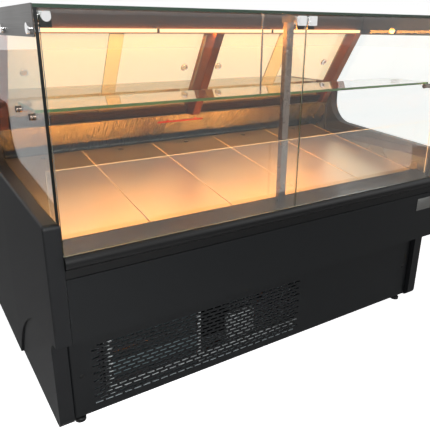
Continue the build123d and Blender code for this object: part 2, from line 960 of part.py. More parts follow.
bracket_outer_x = bracket_inner_x + bracket_thickness
with BuildPart() as point_fixings:
    for side in (-1, 1):
        for depth in fixing_depths:
            rod_across(
                bracket_outer_x,
                bracket_outer_x + fixing_cap_height,
                depth,
                fixing_height,
                fixing_cap_radius,
                side,
            )
            if depth < header_front_depth:
                rod_across(side_glass_inner_x, bracket_outer_x, depth, fixing_height, fixing_pin_radius, side)
                rod_across(
                    side_glass_inner_x - fixing_cap_height,
                    side_glass_inner_x,
                    depth,
                    fixing_height,
                    fixing_cap_radius,
                    side,
                )
            else:
                rod_across(header_half, bracket_outer_x, depth, fixing_height, fixing_pin_radius, side)
finish(point_fixings.part, "point_fixings")

# Front glass, two panes that swing up on barrels behind their top corners
front_glass_foot = sill_height + glass_gap
front_glass_head = case_height - front_glass_top_gap
front_glass_outer_x = cheek_inner_x - joint_gap
hinge_bolt_height = hinge_height - hinge_cap_below_axis
outer_barrel_x = (
    side_glass_inner_x - hinge_flange_thickness - joint_gap - hinge_length,
    side_glass_inner_x - hinge_flange_thickness - joint_gap,
)
inner_barrel_x = (
    pillar_arm_width / 2 + joint_gap,
    pillar_arm_width / 2 + joint_gap + hinge_length,
)
barrels = (outer_barrel_x, inner_barrel_x)
with BuildPart() as front_glass_right:
    block((glass_gap / 2, front_glass_outer_x), (0, glass_thickness), (front_glass_foot, front_glass_head))
    with BuildSketch(facing_plane(0)):
        with Locations(*[(sum(barrel) / 2, hinge_bolt_height) for barrel in barrels]):
            Circle(hinge_bolt_hole)
    extrude(amount=-glass_thickness, mode=Mode.SUBTRACT)
finish(front_glass_right.part, "front_glass_right")

with BuildPart() as front_glass_left:
    mirror(front_glass_right.part, about=Plane.YZ)
finish(front_glass_left.part, "front_glass_left")

with BuildPart() as front_hinge_leaves_right:
    for barrel in barrels:
        barrel_middle = sum(barrel) / 2
        block(
            barrel,
            (glass_thickness, glass_thickness + hinge_tab_thickness),
            (hinge_height - hinge_tab_height, hinge_height),
        )
        rod_across(*barrel, hinge_depth, hinge_height, hinge_barrel_radius)
        rod_along(barrel_middle, -hinge_cap_height, 0, hinge_bolt_height, hinge_cap_radius)
        rod_along(
            barrel_middle,
            0,
            glass_thickness + hinge_tab_thickness / 2,
            hinge_bolt_height,
            hinge_bolt_radius,
        )
        rod_across(*barrel, hinge_depth, hinge_height, hinge_pin_radius + hinge_play, mode=Mode.SUBTRACT)
    # the square face plate beside the seam between the panes
    with BuildSketch(facing_plane(-hinge_plate_thickness)):
        with Locations((sum(inner_barrel_x) / 2, front_glass_head - joint_gap - hinge_plate_height / 2)):
            RectangleRounded(hinge_plate_width, hinge_plate_height, hinge_plate_thickness)
    extrude(amount=-hinge_plate_thickness)
finish(front_hinge_leaves_right.part, "front_hinge_leaves_right")

with BuildPart() as front_hinge_leaves_left:
    mirror(front_hinge_leaves_right.part, about=Plane.YZ)
finish(front_hinge_leaves_left.part, "front_hinge_leaves_left")

with BuildPart() as front_hinge_pins:
    for side in (-1, 1):
        rod_across(
            side_glass_inner_x - hinge_flange_thickness,
            side_glass_inner_x,
            hinge_depth,
            hinge_height,
            hinge_flange_radius,
            side,
        )
        rod_across(outer_barrel_x[0], side_glass_inner_x, hinge_depth, hinge_height, hinge_pin_radius, side)
finish(front_hinge_pins.part, "front_hinge_pins")


def sill_top(depth):
    # height of the sill's sloping top at a depth
    share = (depth - sill_front) / (sill_rear_depth - sill_front)
    return sill_height - share * sill_drop


# Centre pillar and the arm that carries the inner hinge pins
pillar_rear_depth = pillar_front_depth + pillar_depth
arm_top = top_glass_underside - pillar_top_gap
arm_foot = arm_top - pillar_arm_height
with BuildPart() as centre_pillar:
    with BuildSketch(floor_plane(sill_top(pillar_front_depth) + joint_gap / 2)) as pillar_section:
        with Locations((pillar_x, (pillar_front_depth + pillar_rear_depth) / 2)):
            RectangleRounded(pillar_width, pillar_depth, pillar_corner)
    extrude(pillar_section.sketch, amount=arm_foot - sill_top(pillar_front_depth) - joint_gap / 2)
finish(centre_pillar.part, "centre_pillar")

opening_sine = math.sin(math.radians(front_glass_opening))
opening_cosine = math.cos(math.radians(front_glass_opening))
nose_top = (
    hinge_depth - hinge_barrel_radius * opening_cosine,
    hinge_height + hinge_barrel_radius * opening_sine,
)
ramp_run = (arm_top - nose_top[1]) * opening_sine / opening_cosine
with BuildPart() as centre_hinge_arm:
    # the nose is round about the hinge line and slopes back at the angle of the opened glass
    with BuildSketch(side_view):
        with BuildLine():
            RadiusArc((hinge_depth - hinge_barrel_radius, hinge_height), nose_top, hinge_barrel_radius)
            Polyline(
                nose_top,
                (nose_top[0] + ramp_run, arm_top),
                (pillar_rear_depth, arm_top),
                (pillar_rear_depth, arm_foot),
                (hinge_depth - hinge_barrel_radius, arm_foot),
                (hinge_depth - hinge_barrel_radius, hinge_height),
            )
        make_face()
    extrude(amount=pillar_arm_width / 2, both=True)
    rod_across(-inner_barrel_x[1], inner_barrel_x[1], hinge_depth, hinge_height, hinge_pin_radius)
finish(centre_hinge_arm.part, "centre_hinge_arm")

# Glass shelf on four pins through the side glasses, hung at its middle from the top glass
shelf_half = side_glass_inner_x - shelf_end_gap
with BuildPart() as glass_shelf:
    block(
        (-shelf_half, shelf_half),
        (shelf_front_depth, shelf_rear_depth),
        (shelf_height, shelf_height + glass_thickness),
    )
    with BuildSketch(floor_plane(shelf_height)):
        with Locations((0, hanger_depth)):
            Circle(hanger_radius + joint_gap)
    extrude(amount=glass_thickness, mode=Mode.SUBTRACT)
finish(glass_shelf.part, "glass_shelf")

with BuildPart() as shelf_hanger:
    hanger_foot = shelf_height - hanger_radius
    hanger_head = top_glass_underside - hanger_radius
    rod_upright(0, hanger_depth, hanger_foot, shelf_height, hanger_foot_radius)
    rod_upright(0, hanger_depth, shelf_height, hanger_head, hanger_radius)
    rod_upright(0, hanger_depth, hanger_head, top_glass_underside, hanger_foot_radius)
finish(shelf_hanger.part, "shelf_hanger")

with BuildPart() as shelf_clamps:
    shelf_pin_inner_x = side_glass_inner_x - shelf_clamp_length
    for side in (-1, 1):
        for depth in shelf_clamp_depths:
            for near_x, far_x, radius in (
                (shelf_pin_inner_x, side_glass_inner_x, shelf_clamp_radius),
                (side_glass_inner_x, side_glass_outer_x, fixing_pin_radius),
                (side_glass_outer_x, side_glass_outer_x + shelf_clamp_cap, shelf_clamp_radius),
            ):
                rod_across(near_x, far_x, depth, shelf_pin_height, radius, side)
finish(shelf_clamps.part, "shelf_clamps")

# Worktop behind the doors
with BuildPart() as rear_worktop:
    across(
        bent_outline(
            [
                (worktop_front_depth, tub_top),
                (worktop_front_depth, worktop_height),
                (rear_depth - joint_gap, worktop_height),
                (rear_depth - joint_gap, tub_top),
            ],
            -worktop_thickness,
        ),
        bay_half_width,
    )
finish(rear_worktop.part, "rear_worktop")

# Service side: panel with louvres, thermostat and two rocker switches
rear_panel_outer = rear_depth - rear_panel_inset
switch_places = [control_x - switch_offset - number * switch_spacing for number in range(2)]
cavity_half_width = switch_width / 2 + rocker_side_play
cavity_half_height = rocker_radius + rocker_play
with BuildPart() as rear_panel:
    block(
        (-bay_half_width, bay_half_width),
        (rear_panel_outer - sheet_thickness, rear_panel_outer),
        (base_height, tub_top - joint_gap),
    )
    with BuildSketch(facing_plane(rear_panel_outer - sheet_thickness - joint_gap)) as panel_openings:
        with Locations((0, louvre_floor + louvre_rows * louvre_pitch_z / 2)):
            with GridLocations(louvre_pitch_x, louvre_pitch_z, louvre_columns, louvre_rows):
                Rectangle(louvre_length, louvre_height)
        with Locations((control_x, control_height)):
            Rectangle(thermostat_body_width + joint_gap, thermostat_body_height + joint_gap)
        with Locations(*[(switch_x, control_height) for switch_x in switch_places]):
            Rectangle(
                2 * (cavity_half_width + switch_wall) + joint_gap,
                2 * (cavity_half_height + switch_wall) + joint_gap,
            )
    extrude(panel_openings.sketch, amount=-(sheet_thickness + 2 * joint_gap), mode=Mode.SUBTRACT)
finish(rear_panel.part, "rear_panel")


def control_block(x, half_width, half_height, near_depth, far_depth, mode=Mode.ADD):
    # adds or cuts a box centred on the line of the controls
    block(
        (x - half_width, x + half_width),
        (near_depth, far_depth),
        (control_height - half_height, control_height + half_height),
        mode=mode,
    )


with BuildPart() as thermostat:
    control_block(
        control_x,
        thermostat_body_width / 2,
        thermostat_body_height / 2,
        rear_panel_outer - thermostat_body_depth,
        rear_panel_outer,
    )
    control_block(
        control_x,
        thermostat_width / 2,
        thermostat_height / 2,
        rear_panel_outer,
        rear_panel_outer + thermostat_bezel,
    )
    control_block(
        control_x,
        thermostat_width / 4,
        thermostat_height / 4,
        rear_panel_outer + thermostat_bezel - joint_gap,
        rear_panel_outer + thermostat_bezel,
        mode=Mode.SUBTRACT,
    )
finish(thermostat.part, "thermostat")

switch_face = rear_panel_outer + switch_wall
rocker_pivot = switch_face - rocker_pivot_depth
with BuildPart() as switch_housings:
    for switch_x in switch_places:
        control_block(
            switch_x,
            cavity_half_width + switch_wall,
            cavity_half_height + switch_wall,
            switch_face - switch_body_depth,
            rear_panel_outer,
        )
        control_block(
            switch_x,
            cavity_half_width + 2 * switch_wall,
            cavity_half_height + 2 * switch_wall,
            rear_panel_outer,
            switch_face,
        )
        control_block(
            switch_x,
            cavity_half_width,
            cavity_half_height,
            switch_face - switch_body_depth + switch_wall,
            switch_face,
            mode=Mode.SUBTRACT,
        )
        rod_across(
            switch_x - cavity_half_width - switch_wall,
            switch_x + cavity_half_width + switch_wall,
            rocker_pivot,
            control_height,
            rocker_pin_radius + rocker_pin_play,
            mode=Mode.SUBTRACT,
        )
finish(switch_housings.part, "switch_housings")


def build_rocker(switch_x):
    # a rocker with a shallow V face, tipped by its rest angle so that the lower half stands out
    tip = math.radians(rocker_rest_angle)
    rocker_plane = Plane(
        origin=(switch_x, front_glass_y + rocker_pivot, control_height),
        x_dir=(0, math.cos(tip), math.sin(tip)),
        z_dir=(1, 0, 0),
    )
    wing = rocker_pivot_depth + rocker_radius * math.tan(tip)
    with BuildPart() as rocker:
        with BuildSketch(rocker_plane):
            Circle(rocker_radius)
            with BuildLine():
                Polyline(
                    (-rocker_back, -rocker_radius),
                    (wing, -rocker_radius),
                    (rocker_pivot_depth, 0),
                    (wing, rocker_radius),
                    (-rocker_back, rocker_radius),
                    close=True,
                )
            make_face(mode=Mode.INTERSECT)
        extrude(amount=switch_width / 2, both=True)
        rod_across(
            switch_x - cavity_half_width - switch_wall / 2,
            switch_x + cavity_half_width + switch_wall / 2,
            rocker_pivot,
            control_height,
            rocker_pin_radius,
        )
    return rocker.part


for switch_name, switch_x in zip(("light_switch", "main_switch"), switch_places):
    with BuildPart() as rocker_switch:
        add(build_rocker(switch_x))
    finish(rocker_switch.part, switch_name)

# Base frame: a floor pan with raised lips, six tubular uprights and two side rails
frame_half = bay_half_width - frame_inset
frame_front = base_panel_depth + frame_inset
frame_rear = rear_panel_outer - sheet_thickness - frame_inset
pan_top = base_height + sheet_thickness
upright_x = frame_half - upright_size / 2
upright_places = [
    (upright_front_depth, tub_floor_height),
    (upright_middle_depth, tub_floor_height),
    (upright_rear_depth, worktop_height - worktop_thickness),
]
foot_depths = (upright_front_depth, upright_rear_depth)


def upright_block(side, depth, half_size, low, high, mode=Mode.ADD):
    # adds or cuts a square bar in the place of one upright
    block(
        (side * (upright_x - half_size), side * (upright_x + half_size)),
        (depth - half_size, depth + half_size),
        (low, high),
        mode=mode,
    )


with BuildPart() as base_frame:
    block((-frame_half, frame_half), (frame_front, frame_rear), (base_height, base_height + pan_lip))
    block(
        (-frame_half + sheet_thickness, frame_half - sheet_thickness),
        (frame_front + sheet_thickness, frame_rear - sheet_thickness),
        (pan_top, base_height + pan_lip),
        mode=Mode.SUBTRACT,
    )
    for side in (-1, 1):
        block(
            (side * (frame_half - upright_wall), side * frame_half),
            (upright_front_depth, upright_rear_depth),
            (tub_floor_height - rail_height, tub_floor_height),
        )
        block(
            (side * (frame_half - upright_size), side * frame_half),
            (upright_front_depth, upright_rear_depth),
            (tub_floor_height - upright_wall, tub_floor_height),
        )
        for depth, top in upright_places:
            upright_block(side, depth, upright_size / 2, pan_top, top)
            upright_block(side, depth, upright_size / 2 - upright_wall, pan_top, top, mode=Mode.SUBTRACT)
        for depth in foot_depths:
            rod_upright(side * upright_x, depth, 0, pan_top, foot_stem_hole, mode=Mode.SUBTRACT)
    rod_upright(gland_x, gland_depth, 0, pan_top, gland_hole, mode=Mode.SUBTRACT)
finish(base_frame.part, "base_frame")

with BuildPart() as levelling_feet:
    for side in (-1, 1):
        for depth in foot_depths:
            rod_upright(side * upright_x, depth, 0, foot_pad_height, foot_radius)
            rod_upright(
                side * upright_x,
                depth,
                foot_pad_height,
                foot_pad_height + foot_stem_height,
                foot_stem_radius,
            )
            with BuildSketch(floor_plane(base_height - foot_nut_height)):
                with Locations((side * upright_x, depth)):
                    RegularPolygon(foot_nut_radius, 6)
            extrude(amount=foot_nut_height)
    pad_edges = levelling_feet.edges().filter_by(GeomType.CIRCLE).filter_by(
        lambda edge: edge.radius > foot_nut_radius and edge.center().Z > foot_pad_edge
    )
    chamfer(pad_edges, foot_pad_edge)
finish(levelling_feet.part, "levelling_feet")

gland_top = pan_top + gland_neck
with BuildPart() as cable_gland:
    rod_upright(gland_x, gland_depth, gland_top - gland_length, gland_top, gland_neck)
    for low, high in (
        (gland_top - gland_length + gland_nut_height, base_height),
        (pan_top, pan_top + gland_nut_height),
    ):
        with BuildSketch(floor_plane(low)):
            with Locations((gland_x, gland_depth)):
                RegularPolygon(gland_radius, 6)
        extrude(amount=high - low)
    rod_upright(gland_x, gland_depth, 0, case_height, gland_bore, mode=Mode.SUBTRACT)
finish(cable_gland.part, "cable_gland")


def build_coil(x_range, depth_range, height_range, frame, fin_count, fin_thickness):
    # a finned coil: a plain casing open at front and back, with upright fins between
    left = x_range[0] + frame
    right = x_range[1] - frame
    heights = (height_range[0] + frame, height_range[1] - frame)
    with BuildPart() as coil:
        block(x_range, depth_range, height_range)
        block((left, right), depth_range, heights, mode=Mode.SUBTRACT)
        for fin in range(fin_count):
            fin_x = left + (fin + 0.5) * (right - left) / fin_count
            block(
                (fin_x - fin_thickness / 2, fin_x + fin_thickness / 2),
                (depth_range[0] + fin_thickness, depth_range[1] - fin_thickness),
                heights,
            )
    return coil.part


def build_fan(x, depth, height, radius):
    # an axial fan that turns about the line from front to back, sized by its tip radius
    scale = radius / fan_radius
    hub_radius = fan_hub_radius * scale
    hub_half = fan_hub_length * scale / 2
    tip_half = fan_blade_chord * scale / 2
    root_half = tip_half / 2
    root = hub_radius - fan_root_sink * scale
    tip = math.sqrt(radius**2 - tip_half**2)
    pitch = math.radians(fan_blade_pitch)
    with BuildPart() as fan:
        rod_along(x, depth - hub_half, depth + hub_half, height, hub_radius)
        for blade in range(fan_blades):
            turn = 2 * math.pi * blade / fan_blades
            blade_plane = Plane(
                origin=(x, front_glass_y + depth, height),
                x_dir=(math.cos(turn), 0, math.sin(turn)),
                z_dir=(
                    math.sin(turn) * math.sin(pitch),
                    math.cos(pitch),
                    -math.cos(turn) * math.sin(pitch),
                ),
            )
            with BuildSketch(blade_plane):
                with BuildLine():
                    Polyline(
                        (root, -root_half),
                        (tip, -tip_half),
                        (tip, tip_half),
                        (root, root_half),
                        close=True,
                    )
                make_face()
            extrude(amount=fan_blade_thickness * scale / 2, both=True)
        shaft_hole = motor_shaft_radius * scale + shaft_play
        rod_along(x, depth - hub_half, depth + hub_half, height, shaft_hole, mode=Mode.SUBTRACT)
    return fan.part


def add_motor(x, fan_depth, height, fan_tip, body_radius, body_length, seat_depth):
    # adds a motor behind a fan, its shaft, and a cross of arms that stand on the plate at seat_depth
    scale = fan_tip / fan_radius
    front = fan_depth + fan_hub_length * scale / 2 + motor_gap * scale
    arm_rear = front + motor_arm_thickness
    arm_half = motor_arm_width * scale / 2
    reach = fan_tip + fan_tip_gap + 2 * arm_half
    for across_reach, up_reach in ((reach, arm_half), (arm_half, reach)):
        block(
            (x - across_reach, x + across_reach),
            (front, arm_rear),
            (height - up_reach, height + up_reach),
        )
    for turn in range(4):
        foot_x = x + (reach - arm_half) * math.cos(turn * math.pi / 2)
        foot_height = height + (reach - arm_half) * math.sin(turn * math.pi / 2)
        block(
            (foot_x - arm_half, foot_x + arm_half),
            (seat_depth, arm_rear),
            (foot_height - arm_half, foot_height + arm_half),
        )
    rod_along(x, front, front + body_length, height, body_radius)
    rod_along(x, fan_depth, front, height, motor_shaft_radius * scale)


# Condensing unit on the floor pan
coil_x = (coil_left, coil_left + coil_width)
coil_heights = (pan_top, pan_top + coil_height)
coil_rear_depth = coil_front_depth + coil_depth
with BuildPart() as condenser_coil:
    add(
        build_coil(
            coil_x,
            (coil_front_depth, coil_rear_depth),
            coil_heights,
            coil_frame,
            coil_fin_count,
            coil_fin_thickness,
        )
    )
finish(condenser_coil.part, "condenser_coil")

fan_x = sum(coil_x) / 2
fan_height = sum(coil_heights) / 2
fan_depth = coil_rear_depth + shroud_depth / 2
shroud_rear_depth = coil_rear_depth + shroud_depth
with BuildPart() as fan_shroud:
    block(coil_x, (coil_rear_depth, shroud_rear_depth), coil_heights)
    block(
        (coil_x[0] + shroud_wall, coil_x[1] - shroud_wall),
        (coil_rear_depth, shroud_rear_depth - shroud_wall),
        (coil_heights[0] + shroud_wall, coil_heights[1] - shroud_wall),
        mode=Mode.SUBTRACT,
    )
    rod_along(
        fan_x,
        coil_rear_depth,
        shroud_rear_depth,
        fan_height,
        fan_radius + fan_tip_gap,
        mode=Mode.SUBTRACT,
    )
finish(fan_shroud.part, "fan_shroud")

with BuildPart() as condenser_fan:
    add(build_fan(fan_x, fan_depth, fan_height, fan_radius))
finish(condenser_fan.part, "condenser_fan")

with BuildPart() as condenser_fan_motor:
    add_motor(fan_x, fan_depth, fan_height, fan_radius, motor_radius, motor_length, shroud_rear_depth)
finish(condenser_fan_motor.part, "condenser_fan_motor")

compressor_plate = pan_top + compressor_pad_height
compressor_floor = compressor_plate + compressor_foot_thickness
compressor_top = compressor_floor + compressor_height
with BuildPart() as compressor:
    rod_upright(compressor_x, compressor_depth, compressor_floor, compressor_top, compressor_radius)
    chamfer(compressor.edges().group_by(Axis.Z)[-1], compressor_dome)
    chamfer(compressor.edges().group_by(Axis.Z)[0], compressor_pad_radius)
    block(
        (compressor_x - compressor_foot / 2, compressor_x + compressor_foot / 2),
        (compressor_depth - compressor_foot / 2, compressor_depth + compressor_foot / 2),
        (compressor_plate, compressor_floor),
    )
    block(
        (compressor_x - compressor_box_width / 2, compressor_x + compressor_box_width / 2),
        (compressor_depth - compressor_radius - compressor_box_depth, compressor_depth),
        (compressor_floor + compressor_box_height / 2, compressor_floor + 1.5 * compressor_box_height),
    )
    pad_reach = compressor_foot / 2 - compressor_pad_radius
    for pad_x in (compressor_x - pad_reach, compressor_x + pad_reach):
        for pad_depth in (compressor_depth - pad_reach, compressor_depth + pad_reach):
            rod_upright(pad_x, pad_depth, pan_top, compressor_plate, compressor_pad_radius)
finish(compressor.part, "compressor")

# Evaporator, its fans and the drain tray, under the deck
evaporator_rear_depth = evaporator_front_depth + evaporator_depth
fan_plate_depth = evaporator_front_depth - fan_plate_gap
tray_floor = tub_floor_height + tub_wall
tray_top = tray_floor + sheet_thickness
evaporator_floor = tray_top + drain_tray_gap
evaporator_top = evaporator_floor + evaporator_height
tray_half = evaporator_half_width + drain_tray_lip
with BuildPart() as drain_tray:
    block(
        (-tray_half, tray_half),
        (fan_plate_depth - drain_tray_lip, evaporator_rear_depth + drain_tray_lip),
        (tray_floor, tray_floor + drain_tray_lip),
    )
    block(
        (-tray_half + sheet_thickness, tray_half - sheet_thickness),
        (
            fan_plate_depth - drain_tray_lip + sheet_thickness,
            evaporator_rear_depth + drain_tray_lip - sheet_thickness,
        ),
        (tray_top, tray_floor + drain_tray_lip),
        mode=Mode.SUBTRACT,
    )
finish(drain_tray.part, "drain_tray")

with BuildPart() as evaporator_coil:
    add(
        build_coil(
            (-evaporator_half_width, evaporator_half_width),
            (evaporator_front_depth, evaporator_rear_depth),
            (evaporator_floor, evaporator_top),
            sheet_thickness,
            evaporator_fin_count,
            evaporator_fin_thickness,
        )
    )
    for side in (-1, 1):
        block(
            (side * (evaporator_half_width - sheet_thickness), side * evaporator_half_width),
            (evaporator_front_depth, evaporator_rear_depth),
            (tray_top, evaporator_top),
        )
finish(evaporator_coil.part, "evaporator_coil")

evaporator_fan_depth = fan_plate_depth + sheet_thickness / 2
evaporator_fan_height = (tray_top + evaporator_top) / 2
evaporator_fan_places = (-evaporator_fan_x, evaporator_fan_x)
with BuildPart() as evaporator_fan_plate:
    block(
        (-evaporator_half_width, evaporator_half_width),
        (fan_plate_depth, fan_plate_depth + sheet_thickness),
        (tray_top, evaporator_top),
    )
    for place_x in evaporator_fan_places:
        rod_along(
            place_x,
            fan_plate_depth,
            fan_plate_depth + sheet_thickness,
            evaporator_fan_height,
            evaporator_fan_radius + fan_tip_gap,
            mode=Mode.SUBTRACT,
        )
    for place_x in evaporator_fan_places:
        add_motor(
            place_x,
            evaporator_fan_depth,
            evaporator_fan_height,
            evaporator_fan_radius,
            evaporator_motor_radius,
            evaporator_motor_length,
            fan_plate_depth,
        )
finish(evaporator_fan_plate.part, "evaporator_fan_plate")

for fan_side, place_x in zip(("left", "right"), evaporator_fan_places):
    with BuildPart() as evaporator_fan:
        add(build_fan(place_x, evaporator_fan_depth, evaporator_fan_height, evaporator_fan_radius))
    finish(evaporator_fan.part, f"evaporator_fan_{fan_side}")
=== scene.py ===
import math

import bpy
from mathutils import Matrix, Vector


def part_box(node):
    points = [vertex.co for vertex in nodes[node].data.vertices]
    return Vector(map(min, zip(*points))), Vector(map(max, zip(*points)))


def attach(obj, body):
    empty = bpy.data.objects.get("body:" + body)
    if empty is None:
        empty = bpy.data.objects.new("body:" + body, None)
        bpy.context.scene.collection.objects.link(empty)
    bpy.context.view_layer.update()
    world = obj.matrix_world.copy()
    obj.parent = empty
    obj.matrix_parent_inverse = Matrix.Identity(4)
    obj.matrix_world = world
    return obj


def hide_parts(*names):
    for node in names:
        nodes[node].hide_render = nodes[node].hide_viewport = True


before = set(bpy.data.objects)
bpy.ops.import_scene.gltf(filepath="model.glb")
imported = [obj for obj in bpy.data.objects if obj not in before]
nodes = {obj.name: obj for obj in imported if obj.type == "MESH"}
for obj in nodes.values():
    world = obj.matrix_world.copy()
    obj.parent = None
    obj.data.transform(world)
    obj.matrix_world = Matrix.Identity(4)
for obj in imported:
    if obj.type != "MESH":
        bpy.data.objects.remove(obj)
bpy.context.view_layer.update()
mm = 0.001

# The front panes' front face lies at this y; every depth below is in millimetres behind it.
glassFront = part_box("front_glass_right")[0].y


# Small helpers

def toLinear(code):
    # sRGB hex to linear red, green, blue, alpha
    channels = [int(code[i:i + 2], 16) / 255 for i in (1, 3, 5)]
    return tuple(c / 12.92 if c <= 0.04045 else ((c + 0.055) / 1.055) ** 2.4 for c in channels) + (1.0,)


def addNode(tree, kind, settings=None, links=None):
    # adds one node; a setting is one of the node's attributes where it has that name, else an input's value
    node = tree.nodes.new(kind)
    for key, value in (settings or {}).items():
        if isinstance(key, str) and hasattr(node, key):
            setattr(node, key, value)
        else:
            node.inputs[key].default_value = value
    for key, socket in (links or {}).items():
        tree.links.new(socket, node.inputs[key])
    return node


def noise(tree, vector, scale, detail):
    settings = {"Scale": scale, "Detail": detail}
    return addNode(tree, "ShaderNodeTexNoise", settings, {"Vector": vector}).outputs["Fac"]


def twoTones(tree, colour, other, factor):
    settings = {"data_type": "RGBA", 6: toLinear(colour), 7: toLinear(other)}
    return addNode(tree, "ShaderNodeMix", settings, {0: factor}).outputs[2]


def ranged(tree, factor, low, high, limits=None):
    # a value from 0 to 1, or within the limits given, spread from low to high
    settings = {"To Min": low, "To Max": high, **(limits or {})}
    return addNode(tree, "ShaderNodeMapRange", settings, {"Value": factor}).outputs[0]


def larger(tree, first, second):
    return addNode(tree, "ShaderNodeMath", {"operation": "MAXIMUM"}, {0: first, 1: second}).outputs[0]


def eyeRay(tree):
    # the light path, and 1 for a ray from the eye, straight or through glass
    ray = addNode(tree, "ShaderNodeLightPath")
    return ray, larger(tree, ray.outputs["Is Camera Ray"], ray.outputs["Is Transmission Ray"])


def newMaterial(name):
    material = bpy.data.materials.new(name)
    material.use_nodes = True
    material.node_tree.nodes.clear()
    return material, material.node_tree


def closeMaterial(tree, shader):
    addNode(tree, "ShaderNodeOutputMaterial", links={"Surface": shader.outputs[0]})


def dress(material, *names):
    # gives CAD nodes their finish
    for name in names:
        for holder in nodes[name].material_slots:
            holder.material = material


# Finishes: sizes in metres

def satinPlastic(name, colour, darker, roughness, grain, depth):
    # plastic, paint or coated sheet: a fine grain in the skin and a faint mottle in the colour
    mottle = {"size": 0.06, "detail": 4.0}
    skinDetail = 2.0
    material, tree = newMaterial(name)
    coords = addNode(tree, "ShaderNodeTexCoord").outputs["Object"]
    tone = twoTones(tree, colour, darker, noise(tree, coords, 1 / mottle["size"], mottle["detail"]))
    skin = noise(tree, coords, 1 / grain, skinDetail)
    bump = addNode(tree, "ShaderNodeBump", {"Strength": 0.25, "Distance": depth}, {"Height": skin})
    sheen = ranged(tree, skin, roughness - 0.05, roughness + 0.08)
    shader = addNode(tree, "ShaderNodeBsdfPrincipled", {"IOR": 1.4},
                     {"Base Color": tone, "Roughness": sheen, "Normal": bump.outputs[0]})
    closeMaterial(tree, shader)
    return material


def brushedMetal(name, colour, darker, roughness, lineAcross, spread):
    # metal brushed one way: long fine lines, lineAcross says how wide they are along each axis
    cloud = {"size": 0.25, "detail": 3.0}
    lineDetail = 3.0
    material, tree = newMaterial(name)
    coords = addNode(tree, "ShaderNodeTexCoord").outputs["Object"]
    stretch = addNode(tree, "ShaderNodeMapping", {"Scale": tuple(1 / span for span in lineAcross)},
                      {"Vector": coords})
    lines = noise(tree, stretch.outputs[0], 1.0, lineDetail)
    clouds = noise(tree, coords, 1 / cloud["size"], cloud["detail"])
    tone = twoTones(tree, colour, darker, lines)
    both = addNode(tree, "ShaderNodeMath", {"operation": "ADD"}, {0: lines, 1: clouds})
    sheen = ranged(tree, both.outputs[0], roughness - spread, roughness + spread,
                   {"From Min": 0.6, "From Max": 1.4})
    bump = addNode(tree, "ShaderNodeBump", {"Strength": 0.12, "Distance": 0.0002}, {"Height": lines})
    shader = addNode(tree, "ShaderNodeBsdfPrincipled", {"Metallic": 1.0},
                     {"Base Color": tone, "Roughness": sheen, "Normal": bump.outputs[0]})
    closeMaterial(tree, shader)
    return material


def polishedMetal(name, colour, roughness):
    # polished or plated metal with faint wipe marks in its shine
    wipe = {"size": 0.02, "detail": 3.0}
    material, tree = newMaterial(name)
    coords = addNode(tree, "ShaderNodeTexCoord").outputs["Object"]
    wipes = noise(tree, coords, 1 / wipe["size"], wipe["detail"])
    sheen = ranged(tree, wipes, roughness * 0.7, roughness * 1.3)
    shader = addNode(tree, "ShaderNodeBsdfPrincipled", {"Base Color": toLinear(colour), "Metallic": 1.0},
                     {"Roughness": sheen})
    closeMaterial(tree, shader)
    return material


def floatGlass(name, acrossPane, faceColour, edgeColour, haze=0.0, hazeColour="#ffffff", edgeClear=0.35,
               paintedEdgeGlow=0.0, lampThrough="#f4faf6"):
    # soda-lime float glass, tempered: clear through the pane, green and softly ground on its edges
    # a face is an edge where its normal lies along acrossPane by less than edgeBelow
    glass = {"ior": 1.5, "edgeBelow": 0.7, "edgeRoughness": 0.25, "filmRoughness": 0.5,
             "paintedEdgeGlowColour": "#ffdca6"}
    material, tree = newMaterial(name)
    coords = addNode(tree, "ShaderNodeTexCoord")
    facing = addNode(tree, "ShaderNodeVectorMath", {"operation": "DOT_PRODUCT", 1: acrossPane},
                     {0: coords.outputs["Normal"]})
    turned = addNode(tree, "ShaderNodeMath", {"operation": "ABSOLUTE"}, {0: facing.outputs["Value"]})
    onEdge = addNode(tree, "ShaderNodeMath", {"operation": "LESS_THAN", 1: glass["edgeBelow"]},
                     {0: turned.outputs[0]})
    pane = addNode(tree, "ShaderNodeBsdfPrincipled",
                   {"Base Color": toLinear(faceColour), "Roughness": 0.0, "IOR": glass["ior"],
                    "Transmission Weight": 1.0})
    if haze:
        film = addNode(tree, "ShaderNodeBsdfPrincipled",
                       {"Base Color": toLinear(hazeColour), "Roughness": glass["filmRoughness"]})
        pane = addNode(tree, "ShaderNodeMixShader", {0: haze}, {1: pane.outputs[0], 2: film.outputs[0]})
    # an edge's emission, set for the riser, is a painted glow: a painted highlight on the edge, though the
    # glass is no lamp
    edge = addNode(tree, "ShaderNodeBsdfPrincipled",
                   {"Base Color": toLinear(edgeColour), "Roughness": glass["edgeRoughness"],
                    "IOR": glass["ior"], "Transmission Weight": edgeClear,
                    "Emission Color": toLinear(glass["paintedEdgeGlowColour"]), "Emission Strength": paintedEdgeGlow})
    body = addNode(tree, "ShaderNodeMixShader", None,
                   {0: onEdge.outputs[0], 1: pane.outputs[0], 2: edge.outputs[0]})
    # light on its way to what it falls on passes straight through, tinted by lampThrough, and isn't lost
    ray = addNode(tree, "ShaderNodeLightPath")
    lampRay = larger(tree, ray.outputs["Is Shadow Ray"], ray.outputs["Is Diffuse Ray"])
    clear = addNode(tree, "ShaderNodeBsdfTransparent", {"Color": toLinear(lampThrough)})
    shader = addNode(tree, "ShaderNodeMixShader", None, {0: lampRay, 1: body.outputs[0], 2: clear.outputs[0]})
    closeMaterial(tree, shader)
    return material


# foamed side panels in HIPS, moulded with a fine leather grain: near black, satin
mouldedSide = satinPlastic("mouldedStyreneSide", "#0e1013", "#0a0b0d",
                           roughness=0.5, grain=0.0016, depth=0.0003)
# steel sheet with a satin black powder coat: faint orange peel
powderCoat = satinPlastic("blackPowderCoatedSteel", "#0a0d10", "#07090b",
                          roughness=0.42, grain=0.0022, depth=0.00015)
